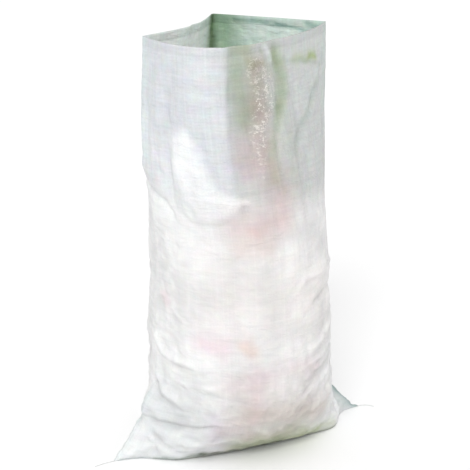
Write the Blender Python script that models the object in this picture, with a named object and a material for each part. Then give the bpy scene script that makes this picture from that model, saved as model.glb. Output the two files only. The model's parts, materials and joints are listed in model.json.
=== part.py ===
"""A woven polypropylene rubble sack, part filled with broken brick and concrete, standing open.

Metres, +Z up. The bottom seam runs along X with an ear at each end, and the origin is on the floor
under the middle of the sack's box. The fabric is a flat tube: its two side creases rise from the ears
to the left and right corners of the mouth, and the back panel keeps one hard packing crease.
"""

import math
import random

import bmesh
import bpy
from mathutils import Vector

# Driving dimensions of the sack
FLAT_WIDTH = 0.550
STAND_HEIGHT = 0.760
FILLED_GIRTH = 0.987 * 2 * FLAT_WIDTH
SEAM_Y = -0.0070
FABRIC = 0.0015
MOUTH_HEM = 0.014
HEM_EXTRA = 0.0008
CREASE_DROP = 0.005
CREASE_DROP_REACH = 0.45
EAR_REACH = 0.265
FOOT_REACH = 0.170
FOOT_BACK = 0.059
FOOT_END_POWER = 12
CAVITY_REACH = 0.200
CORE_REACH = 0.194
SOFT_START = 0.93

# Driving dimensions of the fill
FILL_TOP = 0.430
PIECE_COUNT = 15
BRICK_PLACES = (0, 2, 3)
PIECE_SPACING = 0.0025
PIECE_REACH = 0.150
SPIRAL_START = 0.6
SPIRAL_JITTER = 0.008
PIECE_TALL = (0.036, 0.078)
PIECE_HALF_LENGTH = (0.040, 0.060)
PIECE_HALF_WIDTH = (0.032, 0.048)
PIECE_CHIPS = 5
CHIP_DEPTH = (0.024, 0.038)
CHIP_RISE = (0.5, 1.6)
CHIP_CENTRE = 0.45
NEIGHBOUR_REACH = 0.160
WALL_ROOM = 0.0055
CLEARANCE = 0.0004
CORE_ROOM = 0.0009
SEED = 11

# Driving dimensions of the bottom thread
THREAD = 0.0014
GROOVE_WIDTH = 0.0026
GROOVE_DEPTH = 0.0022
GROOVE_OVERRUN = 0.010
THREAD_HEIGHT = THREAD / 2 + CLEARANCE / 2
STITCH_REACH = EAR_REACH - 0.0015
STITCH_STEPS = 24
FLOOR_TOP = FABRIC + GROOVE_DEPTH
TAIL_GAP = 0.0004
TAIL_STEPS = 14
LEFT_TAIL = 0.040
LEFT_DRIFT = math.radians(14)
RIGHT_TAIL = 0.034
RIGHT_DRIFT = math.radians(68)

# Facets
PANEL_STEPS = 26
FOOT_ROWS = (0.0, 0.004, 0.012, 0.024, 0.040, 0.056, 0.074, 0.092, 0.115, 0.140)
FILLED_ROWS = (0.170, 0.205, 0.240, 0.285, 0.325, 0.355, 0.390)
FREE_ROWS = (0.455, 0.475, 0.495, 0.515, 0.540, 0.570, 0.605, 0.645, 0.690, 0.725)
SMOOTH_ANGLE = math.radians(50)
CUT_NEAR = 1e-7
MERGE_NEAR = 1e-5

# The body's section at each height is an ellipse whose long axis leans 60 degrees from the seam.
# The girth stays the same, so only its short half is listed, with how far it has moved sideways.
AXIS_ANGLE = math.radians(60)
SHORT_HALF = (
    (0.000, 0.1695),
    (0.105, 0.1695),
    (0.245, 0.1645),
    (0.400, 0.1585),
    (0.438, 0.1580),
    (0.476, 0.1590),
    (0.532, 0.1675),
    (0.587, 0.1750),
    (0.650, 0.1790),
)
SIDE_SHIFT = (
    (0.000, -0.002),
    (0.250, -0.003),
    (0.400, -0.005),
    (0.532, -0.013),
    (0.600, -0.018),
    (0.680, -0.020),
)

# How far the footprint reaches forward of the seam, by u. Behind the seam it is the same everywhere.
FOOT_FRONT = ((-0.60, 0.059), (-0.20, 0.066), (0.20, 0.070), (0.60, 0.071))

# How far the section has grown from the footprint to the full body, by height
GROWTH = ((0.0, 0.0), (0.012, 0.22), (0.030, 0.48), (0.055, 0.72), (0.090, 0.91), (0.130, 1.0))

# How far each ear reaches beyond the body, by height
LEFT_EAR = (
    (0.000, 0.095),
    (0.012, 0.086),
    (0.025, 0.074),
    (0.055, 0.056),
    (0.080, 0.044),
    (0.100, 0.033),
    (0.120, 0.016),
    (0.145, 0.000),
)
RIGHT_EAR = (
    (0.000, 0.095),
    (0.021, 0.077),
    (0.033, 0.062),
    (0.045, 0.045),
    (0.075, 0.022),
    (0.105, 0.006),
    (0.130, 0.000),
)
EAR_POWER = 7
LEFT_SHOULDER = (0.195, 10)
RIGHT_SHOULDER = (0.200, 14)

# Corners of the mouth, seen from above
LEFT_CREASE = (-0.190, 0.012)
RIGHT_CREASE = (0.182, 0.006)
FRONT_BULGE = (-0.128, -0.166)
BACK_CREASE = (0.052, 0.203)
BACK_CREASE_U = 0.12
FRONT_BULGE_U = -0.32
MOUTH_START = 0.400
FREE_START = 0.580

# The cloth's main folds. Each is a line of (u, height) places with how far it rises out and its width.
FRONT_FOLDS = (
    (((-0.28, 0.760), (-0.28, 0.690), (-0.31, 0.565)), 0.0045, 0.014),
    (((0.16, 0.760), (0.14, 0.657), (0.04, 0.519)), -0.0035, 0.016),
    (((0.79, 0.700), (0.63, 0.654), (0.31, 0.557)), 0.0050, 0.016),
    (((-0.66, 0.600), (-0.60, 0.500), (-0.50, 0.475), (-0.34, 0.475), (-0.17, 0.496)), 0.0085, 0.016),
    (((-1.00, 0.512), (-0.80, 0.489), (-0.70, 0.458)), -0.0030, 0.012),
    (((-1.00, 0.540), (-0.75, 0.510)), 0.0040, 0.014),
    (((-1.00, 0.212), (-0.70, 0.204), (-0.42, 0.196)), 0.0040, 0.012),
    (((-1.00, 0.082), (-0.70, 0.071), (-0.36, 0.084)), -0.0065, 0.010),
    (((-0.84, 0.056), (-0.46, 0.026)), 0.0060, 0.011),
    (((0.86, 0.334), (0.50, 0.352), (0.06, 0.316)), 0.0045, 0.014),
    (((0.86, 0.240), (0.49, 0.232), (0.17, 0.205)), 0.0045, 0.014),
    (((0.88, 0.190), (0.57, 0.160), (0.06, 0.115)), -0.0045, 0.012),
)
BACK_FOLDS = (
    (((0.55, 0.700), (0.40, 0.620), (0.15, 0.560)), 0.0050, 0.016),
    (((-0.90, 0.500), (-0.55, 0.475), (-0.20, 0.492), (0.10, 0.470)), 0.0065, 0.016),
    (((-0.90, 0.240), (-0.60, 0.215), (-0.30, 0.220)), 0.0045, 0.014),
    (((0.25, 0.165), (0.60, 0.175), (0.92, 0.205)), 0.0045, 0.014),
    (((0.90, 0.110), (0.70, 0.060), (0.45, 0.024)), 0.0050, 0.012),
    (((-0.88, 0.100), (-0.66, 0.050), (-0.45, 0.024)), 0.0050, 0.012),
)
FOLD_FLOOR = (0.004, 0.030)
FOLD_END = 0.25
FOLD_END_SHARE = 0.25

FABRIC_COLOUR = (0.86, 0.88, 0.87, 1.0)
THREAD_COLOUR = (0.80, 0.81, 0.80, 1.0)
BRICK_COLOUR = (0.55, 0.27, 0.20, 1.0)
CONCRETE_COLOUR = (0.60, 0.58, 0.55, 1.0)
FINES_COLOUR = (0.56, 0.44, 0.38, 1.0)


def clear_scene():
    for thing in list(bpy.data.objects):
        bpy.data.objects.remove(thing, do_unlink=True)


def material(name, colour, roughness, metallic=0.0):
    made = bpy.data.materials.new(name)
    made.use_nodes = True
    shader = made.node_tree.nodes["Principled BSDF"]
    shader.inputs["Base Color"].default_value = colour
    shader.inputs["Roughness"].default_value = roughness
    shader.inputs["Metallic"].default_value = metallic
    return made


def smoothstep(low, high, value):
    t = min(1.0, max(0.0, (value - low) / (high - low)))
    return t * t * (3 - 2 * t)


def lerp(a, b, t):
    return a + (b - a) * t


def read_profile(profile, place):
    """The value of a (place, value) profile, straight between its points."""
    if place <= profile[0][0]:
        return profile[0][1]
    for (low, low_value), (high, high_value) in zip(profile, profile[1:]):
        if place <= high:
            return lerp(low_value, high_value, (place - low) / (high - low))
    return profile[-1][1]


def bezier(points, t):
    """A point on the cubic Bezier curve of four (x, y) points."""
    s = 1 - t
    weights = (s**3, 3 * s * s * t, 3 * s * t * t, t**3)
    return tuple(sum(w * p[axis] for w, p in zip(weights, points)) for axis in (0, 1))


def mouth_point(u, front):
    """The mouth's outline seen from above. u runs from -1 at the left crease to 1 at the right crease."""
    if front:
        if u < FRONT_BULGE_U:
            points = (LEFT_CREASE, (-0.200, -0.070), (-0.192, -0.163), FRONT_BULGE)
            return bezier(points, (u + 1) / (FRONT_BULGE_U + 1))
        points = (FRONT_BULGE, (-0.060, -0.169), (0.090, -0.098), RIGHT_CREASE)
        return bezier(points, (u - FRONT_BULGE_U) / (1 - FRONT_BULGE_U))
    if u < BACK_CREASE_U:
        points = (LEFT_CREASE, (-0.080, 0.062), (-0.052, 0.062), BACK_CREASE)
        return bezier(points, (u + 1) / (BACK_CREASE_U + 1))
    points = (BACK_CREASE, (0.098, 0.140), (0.142, 0.075), RIGHT_CREASE)
    return bezier(points, (u - BACK_CREASE_U) / (1 - BACK_CREASE_U))


def body_point(u, front, height):
    """The full body's section: an ellipse of the tube's girth."""
    short = read_profile(SHORT_HALF, height)
    long = FILLED_GIRTH / math.pi - short
    shift = read_profile(SIDE_SHIFT, height)
    side = Vector((math.sin(AXIS_ANGLE), -math.cos(AXIS_ANGLE)))
    depth = Vector((math.cos(AXIS_ANGLE), math.sin(AXIS_ANGLE)))
    turn = math.radians(90 * (u - 1)) if front else math.radians(90 * (1 - u))
    ray = Vector((math.cos(turn), math.sin(turn)))
    reach = 1 / math.sqrt((ray.dot(side) / short) ** 2 + (ray.dot(depth) / long) ** 2)
    point = side * shift + ray * reach
    return point.x, point.y


def section_point(u, front, height):
    """The sack's outline: a footprint with thin ears near the floor, the full body, then the mouth."""
    body = body_point(u, front, height)
    growth = read_profile(GROWTH, height)
    foot_x = FOOT_REACH * math.sin(math.radians(90 * u))
    ear = read_profile(RIGHT_EAR if u > 0 else LEFT_EAR, height) * math.copysign(abs(u) ** EAR_POWER, u)
    x = lerp(foot_x, body[0], growth) + ear
    shoulder, power = RIGHT_SHOULDER if u > 0 else LEFT_SHOULDER
    foot = read_profile(FOOT_FRONT, u) if front else FOOT_BACK
    foot_y = foot * (1 - abs(u) ** FOOT_END_POWER) / (1 + (abs(x) / shoulder) ** power)
    y = lerp(-foot_y if front else foot_y, body[1], growth)
    opened = smoothstep(MOUTH_START, STAND_HEIGHT, height)
    mouth = mouth_point(u, front)
    return Vector((lerp(x, mouth[0], opened), lerp(y, mouth[1], opened)))


def hold_girth(ring, height):
    """Above the fill the woven tube keeps its full girth, whatever shape its ring takes."""
    girth = sum((point - ring[i - 1]).length for i, point in enumerate(ring))
    scale = lerp(1.0, 2 * FLAT_WIDTH / girth, smoothstep(MOUTH_START, FREE_START, height))
    middle = sum(ring, Vector((0.0, 0.0))) / len(ring)
    return [middle + (point - middle) * scale for point in ring]


def soft_limit(x, limit):
    """x, held inside plus or minus limit without two different values becoming one."""
    start = SOFT_START * limit
    if abs(x) <= start:
        return x
    room = limit - start
    return math.copysign(start + room * math.tanh((abs(x) - start) / room / 2), x)


def ring_places():
    """Each column of the tube as (u, front), anticlockwise from the left crease along the front panel."""
    steps = [-1 + 2 * i / PANEL_STEPS for i in range(PANEL_STEPS)]
    return [(u, True) for u in steps] + [(-u, False) for u in steps]


def fold_rise(u, front, height):
    """How far the cloth's folds lift it outwards at a place. Each fold fades towards its line's ends."""
    place = Vector((u * FLAT_WIDTH / 2, height))
    total = 0.0
    for line, rise, width in FRONT_FOLDS if front else BACK_FOLDS:
        places = [Vector((x * FLAT_WIDTH / 2, z)) for x, z in line]
        gap, along = line_distance(place, places)
        start = 1.0 if line[0][1] >= STAND_HEIGHT else smoothstep(0.0, FOLD_END, along)
        fade = lerp(FOLD_END_SHARE, 1.0, start * smoothstep(0.0, FOLD_END, 1 - along))
        total += rise * fade * math.exp(-((gap / width) ** 2))
    return total * smoothstep(*FOLD_FLOOR, height)


def line_distance(place, line):
    """The distance from a place to a line of places, and the share of the line's length where it is nearest."""
    best, where, run = math.inf, 0.0, 0.0
    for start, end in zip(line, line[1:]):
        step = end - start
        t = min(1.0, max(0.0, (place - start).dot(step) / step.length_squared))
        gap = (place - start - step * t).length
        if gap < best:
            best, where = gap, run + t * step.length
        run += step.length
    return best, where / run


def inward_normals(ring):
    """Unit normals of a closed outline, pointing into it."""
    normals = []
    for i, point in enumerate(ring):
        before, after = ring[i - 1], ring[(i + 1) % len(ring)]
        run = (point - before).normalized() + (after - point).normalized()
        normals.append(Vector((-run.y, run.x)).normalized())
    return normals


def section(height, inset=0.0, reach=CAVITY_REACH, folded=True):
    """The sack's outline at a height, anticlockwise from the left crease along the front panel.

    With an inset it is the outline of the cavity, which reach stops short of the ears."""
    places = ring_places()
    ring = hold_girth([section_point(u, front, height) for u, front in places], height)
    if folded:
        rises = [fold_rise(u, front, height) for u, front in places]
        ring = [p - normal * rise for p, normal, rise in zip(ring, inward_normals(ring), rises)]
    if inset <= 0:
        return ring
    ring = [Vector((soft_limit(p.x, reach), p.y)) for p in ring]
    return [point + normal * inset for point, normal in zip(ring, inward_normals(ring))]


def rim_drop(u, front, height):
    """The back crease's corner of the mouth sits a little lower than the rest of the rim."""
    near = 0.0 if front else max(0.0, 1 - abs(u - BACK_CREASE_U) / CREASE_DROP_REACH)
    return CREASE_DROP * near * near * smoothstep(FREE_START, STAND_HEIGHT, height)


def add_ring(mesh, outline, height):
    drops = [rim_drop(u, front, height) for u, front in ring_places()]
    return [mesh.verts.new((p.x, p.y, height - drop)) for p, drop in zip(outline, drops)]


def bridge(mesh, lower, upper):
    count = len(lower)
    for i in range(count):
        j = (i + 1) % count
        mesh.faces.new((lower[i], lower[j], upper[j], upper[i]))


def finish(name, mesh, look, smooth=False):
    """Turns the bmesh into a named object with its faces pointing out."""
    bmesh.ops.triangulate(mesh, faces=mesh.faces[:])
    bmesh.ops.recalc_face_normals(mesh, faces=mesh.faces[:])
    data = bpy.data.meshes.new(name)
    mesh.to_mesh(data)
    mesh.free()
    data.materials.append(look)
    if smooth:
        data.shade_smooth()
        data.set_sharp_from_angle(angle=SMOOTH_ANGLE)
    made = bpy.data.objects.new(name, data)
    made.location = (0.0, SEAM_Y, 0.0)
    bpy.context.scene.collection.objects.link(made)
    return made


def make_groove_cutter():
    """A wire box that cuts the seam's groove into the underside, from ear to ear."""
    mesh = bmesh.new()
    bmesh.ops.create_cube(mesh, size=1.0)
    for vertex in mesh.verts:
        vertex.co.x *= 2 * (EAR_REACH + GROOVE_OVERRUN)
        vertex.co.y *= GROOVE_WIDTH
        vertex.co.z *= 2 * GROOVE_DEPTH
    cutter = finish("groove_cutter", mesh, bpy.data.materials["woven_fabric"])
    cutter.hide_render = True
    cutter.display_type = "WIRE"
    return cutter


def make_sack_body(look):
    """The woven tube, closed at the seam: outer wall, rim, hemmed inner wall and floor."""
    mesh = bmesh.new()
    wall_rows = FILLED_ROWS + (FILL_TOP,) + FREE_ROWS
    outer = [add_ring(mesh, section(z), z) for z in FOOT_ROWS + wall_rows + (STAND_HEIGHT,)]
    floor_rows = (FLOOR_TOP,) + FOOT_ROWS[2:]
    hem_low = STAND_HEIGHT - MOUTH_HEM
    inner = [add_ring(mesh, section(z, FABRIC), z) for z in floor_rows + wall_rows]
    inner.append(add_ring(mesh, section(hem_low, FABRIC), hem_low))
    hem_inset = FABRIC + HEM_EXTRA
    inner.append(add_ring(mesh, section(hem_low + HEM_EXTRA, hem_inset), hem_low + HEM_EXTRA))
    inner.append(add_ring(mesh, section(STAND_HEIGHT, hem_inset), STAND_HEIGHT))
    for rows in (outer, inner):
        for lower, upper in zip(rows, rows[1:]):
            bridge(mesh, lower, upper)
    bridge(mesh, outer[-1], inner[-1])
    mesh.faces.new(list(reversed(outer[0])))
    mesh.faces.new(inner[0])
    body = finish("sack_body", mesh, look, smooth=True)
    cut = body.modifiers.new("seam_groove", "BOOLEAN")
    cut.operation = "DIFFERENCE"
    cut.solver = "EXACT"
    cut.object = make_groove_cutter()
    return body


def make_fill_core(look):
    """The packed rubble below the top layer, one plain solid with a flat top."""
    mesh = bmesh.new()
    inset = FABRIC + CORE_ROOM
    rows = [add_ring(mesh, section(FLOOR_TOP, inset, CORE_REACH), FLOOR_TOP + CLEARANCE)]
    heights = FOOT_ROWS[2:] + FILLED_ROWS + (FILL_TOP,)
    rows += [add_ring(mesh, section(z, inset, CORE_REACH), z) for z in heights]
    for lower, upper in zip(rows, rows[1:]):
        bridge(mesh, lower, upper)
    mesh.faces.new(list(reversed(rows[0])))
    mesh.faces.new(rows[-1])
    return finish("rubble_core", mesh, look, smooth=True)


def spiral_seeds(count, chance):
    """Middle points of the top pieces, spread over the sack's section by a sunflower spiral."""
    golden = math.pi * (3 - math.sqrt(5))
    seeds = []
    for i in range(count):
        reach = PIECE_REACH * math.sqrt((i + 0.5) / count)
        turn = i * golden + SPIRAL_START
        shift = [chance.uniform(-SPIRAL_JITTER, SPIRAL_JITTER) for _ in range(2)]
        seeds.append(Vector((reach * math.cos(turn), reach * math.sin(turn))) + Vector(shift))
    return seeds


def slice_off(mesh, point, normal):
    """Cuts away what lies beyond a plane and closes the cut."""
    geometry = mesh.verts[:] + mesh.edges[:] + mesh.faces[:]
    done = bmesh.ops.bisect_plane(
        mesh, geom=geometry, dist=CUT_NEAR, plane_co=point, plane_no=normal, clear_outer=True
    )
    rim = [e for e in done["geom_cut"] if isinstance(e, bmesh.types.BMEdge)]
    if rim:
        bmesh.ops.edgeloop_fill(mesh, edges=rim)


def make_piece(name, index, seeds, walls, look, chance):
    """One broken brick or lump of concrete: a tilted block, split by planes shared with its neighbours."""
    seed = seeds[index]
    base = FILL_TOP + CLEARANCE
    tall = chance.uniform(*PIECE_TALL)
    half = Vector((chance.uniform(*PIECE_HALF_LENGTH), chance.uniform(*PIECE_HALF_WIDTH)))
    turn = chance.uniform(0, math.pi)
    mesh = bmesh.new()
    bmesh.ops.create_cube(mesh, size=2.0)
    for vertex in mesh.verts:
        x, y = vertex.co.x * half.x, vertex.co.y * half.y
        vertex.co = (
            seed.x + x * math.cos(turn) - y * math.sin(turn),
            seed.y + x * math.sin(turn) + y * math.cos(turn),
            base + (tall if vertex.co.z > 0 else 0.0),
        )
    for other_index, other in enumerate(seeds):
        apart = other - seed
        if other_index != index and apart.length < NEIGHBOUR_REACH:
            middle = (seed + other) / 2 - apart.normalized() * PIECE_SPACING / 2
            slice_off(mesh, (middle.x, middle.y, base), (apart.x, apart.y, 0))
    for point, outward in walls:
        slice_off(mesh, (point.x, point.y, base), (outward.x, outward.y, 0))
    for _ in range(PIECE_CHIPS):
        around = chance.uniform(0, 2 * math.pi)
        rise = chance.uniform(*CHIP_RISE)
        normal = Vector((math.cos(around), math.sin(around), rise)).normalized()
        centre = Vector((seed.x, seed.y, base + CHIP_CENTRE * tall))
        slice_off(mesh, centre + normal * chance.uniform(*CHIP_DEPTH), normal)
    bmesh.ops.dissolve_degenerate(mesh, dist=MERGE_NEAR, edges=mesh.edges[:])
    return finish(name, mesh, look)


def make_top_pieces(brick, concrete):
    """The loose top layer that lies on the packed rubble."""
    chance = random.Random(SEED)
    seeds = spiral_seeds(PIECE_COUNT, chance)
    rings = [section(z, WALL_ROOM, folded=False) for z in (FILL_TOP, FILL_TOP + PIECE_TALL[1])]
    walls = []
    for ring in rings:
        for i, point in enumerate(ring):
            run = ring[(i + 1) % len(ring)] - point
            walls.append((point, Vector((run.y, -run.x)).normalized()))
    looks = {"brick_piece": brick, "concrete_piece": concrete}
    counts = {"brick_piece": 0, "concrete_piece": 0}
    for index in range(PIECE_COUNT):
        kind = "brick_piece" if index % 5 in BRICK_PLACES else "concrete_piece"
        counts[kind] += 1
        make_piece(f"{kind}_{counts[kind]:02d}", index, seeds, walls, looks[kind], chance)


def make_thread(name, points, look):
    """A thread along points: a curve with a round bevel and closed ends."""
    curve = bpy.data.curves.new(name, "CURVE")
    curve.dimensions = "3D"
    curve.bevel_depth = THREAD / 2
    curve.bevel_resolution = 2
    curve.use_fill_caps = True
    spline = curve.splines.new("POLY")
    spline.points.add(len(points) - 1)
    for place, point in zip(spline.points, points):
        place.co = (*point, 1.0)
    curve.materials.append(look)
    made = bpy.data.objects.new(name, curve)
    made.location = (0.0, SEAM_Y, 0.0)
    bpy.context.scene.collection.objects.link(made)
    return made


def seam_stitching_points():
    """The chain stitch's line in its groove under the sack, from ear tip to ear tip."""
    steps = [i / STITCH_STEPS for i in range(STITCH_STEPS + 1)]
    return [(lerp(-STITCH_REACH, STITCH_REACH, t), 0.0, THREAD_HEIGHT) for t in steps]


def tail_points(start_x, length, drift):
    """A thread tail's route on the floor: out of the seam's end, then in one soft curve to the front."""
    outward = math.copysign(1, start_x)
    step = length / TAIL_STEPS
    x, y = start_x, 0.0
    points = [(x, y, THREAD_HEIGHT)]
    for i in range(TAIL_STEPS):
        heading = drift * smoothstep(0.0, 1.0, (i + 0.5) / TAIL_STEPS)
        x += outward * step * math.cos(heading)
        y -= step * math.sin(heading)
        points.append((x, y, THREAD_HEIGHT))
    return points


def main():
    clear_scene()
    fabric = material("woven_fabric", FABRIC_COLOUR, 0.45)
    thread = material("stitching_thread", THREAD_COLOUR, 0.6)
    brick = material("broken_brick", BRICK_COLOUR, 0.9)
    concrete = material("broken_concrete", CONCRETE_COLOUR, 0.9)
    fines = material("packed_fines", FINES_COLOUR, 0.95)
    make_sack_body(fabric)
    make_fill_core(fines)
    make_top_pieces(brick, concrete)
    make_thread("bottom_stitching", seam_stitching_points(), thread)
    tail_start = STITCH_REACH + TAIL_GAP
    make_thread("thread_tail_left", tail_points(-tail_start, LEFT_TAIL, LEFT_DRIFT), thread)
    make_thread("thread_tail_right", tail_points(tail_start, RIGHT_TAIL, RIGHT_DRIFT), thread)


main()
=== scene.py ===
"""Looks of the woven rubble sack: cloth, hem, seam, thread tails and the rubble seen through its mouth."""

import json
import math
import random

import bpy
import numpy as np
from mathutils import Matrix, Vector, noise
from mathutils.bvhtree import BVHTree

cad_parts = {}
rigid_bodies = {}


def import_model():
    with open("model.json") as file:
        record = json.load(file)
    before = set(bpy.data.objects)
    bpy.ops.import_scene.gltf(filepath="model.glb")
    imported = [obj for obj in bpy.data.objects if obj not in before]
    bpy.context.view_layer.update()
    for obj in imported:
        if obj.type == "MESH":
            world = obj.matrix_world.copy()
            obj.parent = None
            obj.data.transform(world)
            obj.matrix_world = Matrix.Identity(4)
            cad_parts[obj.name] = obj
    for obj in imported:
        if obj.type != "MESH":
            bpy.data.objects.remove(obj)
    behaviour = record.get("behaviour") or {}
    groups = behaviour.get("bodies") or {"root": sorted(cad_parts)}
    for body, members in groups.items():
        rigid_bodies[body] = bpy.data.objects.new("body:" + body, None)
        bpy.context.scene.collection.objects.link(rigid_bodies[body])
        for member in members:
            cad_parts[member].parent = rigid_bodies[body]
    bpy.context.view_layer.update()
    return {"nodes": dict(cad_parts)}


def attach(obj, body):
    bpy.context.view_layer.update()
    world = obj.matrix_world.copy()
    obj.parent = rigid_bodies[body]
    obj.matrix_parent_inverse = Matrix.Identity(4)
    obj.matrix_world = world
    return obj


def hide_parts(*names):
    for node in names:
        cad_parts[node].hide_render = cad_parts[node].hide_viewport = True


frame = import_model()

BODY = "root"
TINY = 1e-9
# Without a seed, noise vectors would be different in each run
NOISE_SEED = 1

# The sack's own sizes, as in the source of its solids, in metres. Profiles give a value at each height
FLAT_WIDTH = 0.55
STAND_HEIGHT = 0.76
FILLED_GIRTH = 0.987 * 2 * FLAT_WIDTH
SEAM_Y = -0.007
EAR_REACH = 0.265
FOOT_REACH = 0.17
FOOT_BACK = 0.059
FOOT_FRONT = ((-0.6, 0.059), (-0.2, 0.066), (0.2, 0.07), (0.6, 0.071))
FOOT_END_POWER = 12
FILL_FOOT_POWER = 0.5
FILL_TOP = 0.43
THREAD_HEIGHT = 0.0009
AXIS_ANGLE = math.radians(60)
SHORT_HALF = (
    (0.0, 0.1695), (0.105, 0.1695), (0.245, 0.1645), (0.4, 0.1585), (0.438, 0.158),
    (0.476, 0.159), (0.532, 0.1675), (0.587, 0.175), (0.65, 0.179),
)
SIDE_SHIFT = ((0.0, -0.002), (0.25, -0.003), (0.4, -0.005), (0.532, -0.013), (0.6, -0.018), (0.68, -0.02))
GROWTH = ((0.0, 0.0), (0.012, 0.22), (0.03, 0.48), (0.055, 0.72), (0.09, 0.91), (0.13, 1.0))
LEFT_EAR = (
    (0.0, 0.095), (0.012, 0.086), (0.025, 0.074), (0.055, 0.056),
    (0.08, 0.044), (0.1, 0.033), (0.12, 0.016), (0.145, 0.0),
)
RIGHT_EAR = (
    (0.0, 0.095), (0.021, 0.077), (0.033, 0.062), (0.045, 0.045),
    (0.075, 0.022), (0.105, 0.006), (0.13, 0.0),
)
EAR_POWER = 7
LEFT_SHOULDER = (0.195, 10)
RIGHT_SHOULDER = (0.2, 14)
MOUTH_START = 0.4
FREE_START = 0.58

# The mouth seen from above: two curves for each panel, and the u at which they meet
LEFT_CREASE = (-0.19, 0.012)
RIGHT_CREASE = (0.182, 0.006)
FRONT_BULGE = (-0.128, -0.166)
BACK_CREASE = (0.052, 0.203)
FRONT_MOUTH = (
    (LEFT_CREASE, (-0.2, -0.07), (-0.192, -0.163), FRONT_BULGE),
    (FRONT_BULGE, (-0.06, -0.169), (0.09, -0.098), RIGHT_CREASE),
    -0.32,
)
BACK_MOUTH = (
    (LEFT_CREASE, (-0.08, 0.062), (-0.052, 0.062), BACK_CREASE),
    (BACK_CREASE, (0.098, 0.14), (0.142, 0.075), RIGHT_CREASE),
    0.12,
)

# The cloth's grid: columns in each panel, rows from the mouth to the seam. Every second one is simulated
PANEL_COLUMNS = 168
ROWS = 264
SIM_STEP = 2
HEIGHT_STEPS = 96
FINE_BELOW = 0.16
UNDER_STEPS = 12
OUTLINE_STEPS = 60

# The mouth's hem, folded inside
HEM_DEPTH = 0.014
HEM_GAP = 0.0009
HEM_ROWS = 4
HEM_SEARCH = 6
HEM_BELOW = 0.0002
HEM_EDGE = 0.0008

# The thread: a braid of strands along the seam, with a loose tail at each end
THREAD_PITCH = 0.0052
STRANDS = 3
STRAND_SIDES = 6
STRAND_RADIUS = 0.00036
STRAND_SWING = 0.00034
STRAND_RISE = 0.00016
PITCH_STEPS = 14
LEAST_STEPS = 24
FRAY_START = 0.85
THIN_START = 0.9
STITCH_REACH = EAR_REACH - 0.0015
TAIL_GAP = 0.0004
TAIL_STEPS = 14
# Each tail's name, side, length and how far it turns away from the seam's line
TAILS = (
    ("tail_left", -1, 0.04, math.radians(14)),
    ("tail_right", 1, 0.034, math.radians(68)),
)

# The rubble behind the cloth: lumps that it stretches over, and a dusty top
LUMP_SIZE = 0.075
LUMP_DEPTH = 0.0055
LUMP_SPREAD = (0.15, 0.8)
CHIP_SIZE = 0.032
CHIP_DEPTH = 0.0022
FILL_INSET = 0.0018
FILL_HIDDEN_INSET = 0.0048
FILL_FLOOR = 0.0045
FILL_LOW = 0.06
FILL_LOW_ROWS = 20
FILL_ROWS = 72
HEAP_RINGS = 34
HEAP_SLICE = 0.3
HEAP_FINENESS = 38
HEAP_NOISE = (0.9, 2.1, 4)
HEAP_LIFT = 0.002
HEAP_ROUGH = 0.0035

# The cloth's simulation: how firmly it is held, how far it starts from its shape, and what it keeps
SIM_FRAMES = 34
CLOTH_GAP = 0.0008
HOLD_FREE = 0.06
HOLD_FILLED = 0.08
HOLD_HEIGHTS = (0.42, 0.6)
START_OUT = 0.0015
START_SLOPE = 12
MOST_MOVED = 0.01
FLOOR_SHARE = 0.05
FLOOR_EASE = (0.004, 0.055)
FLOOR_SIDES = (0.13, 0.18)
LENS_ANGLE = math.radians(35)
LEAST_ANGLE = 0.001
SEAM_FLAT = 0.1
# The cut width and height against the hung ones, and what each region adds to them
WIDTH_EASE = 1.003
TAUT = -0.006
TAUT_HEIGHTS = (0.38, 0.56)
SEAM_EASE = 0.016
SEAM_HEIGHTS = (0.02, 0.14)
HEIGHT_EASE = 1.006
SLUMP = 0.024
SLUMP_START = (0.4, 0.46)
SLUMP_END = (0.54, 0.64)
LOW_EASE = 0.022
LOW_HEIGHTS = (0.04, 0.2)
EAR_EASE = 0.035
EAR_SIDES = (0.55, 0.95)
EAR_HEIGHTS = (0.12, 0.32)
# The settled cloth's least distance from the floor and from the seam's plane, in the ears beyond EAR_START
LEAST_HEIGHT = 0.0005
EAR_GAP = 0.0006
EAR_START = 0.2
RAISED_HEIGHTS = (0.0005, 0.014)

# The tables' lines are runs of u and height by turns. Those and colours are in thousandths, folds' rises and
# all widths in ten thousandths
THOUSAND = 1000
TEN_THOUSAND = 10000

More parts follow.
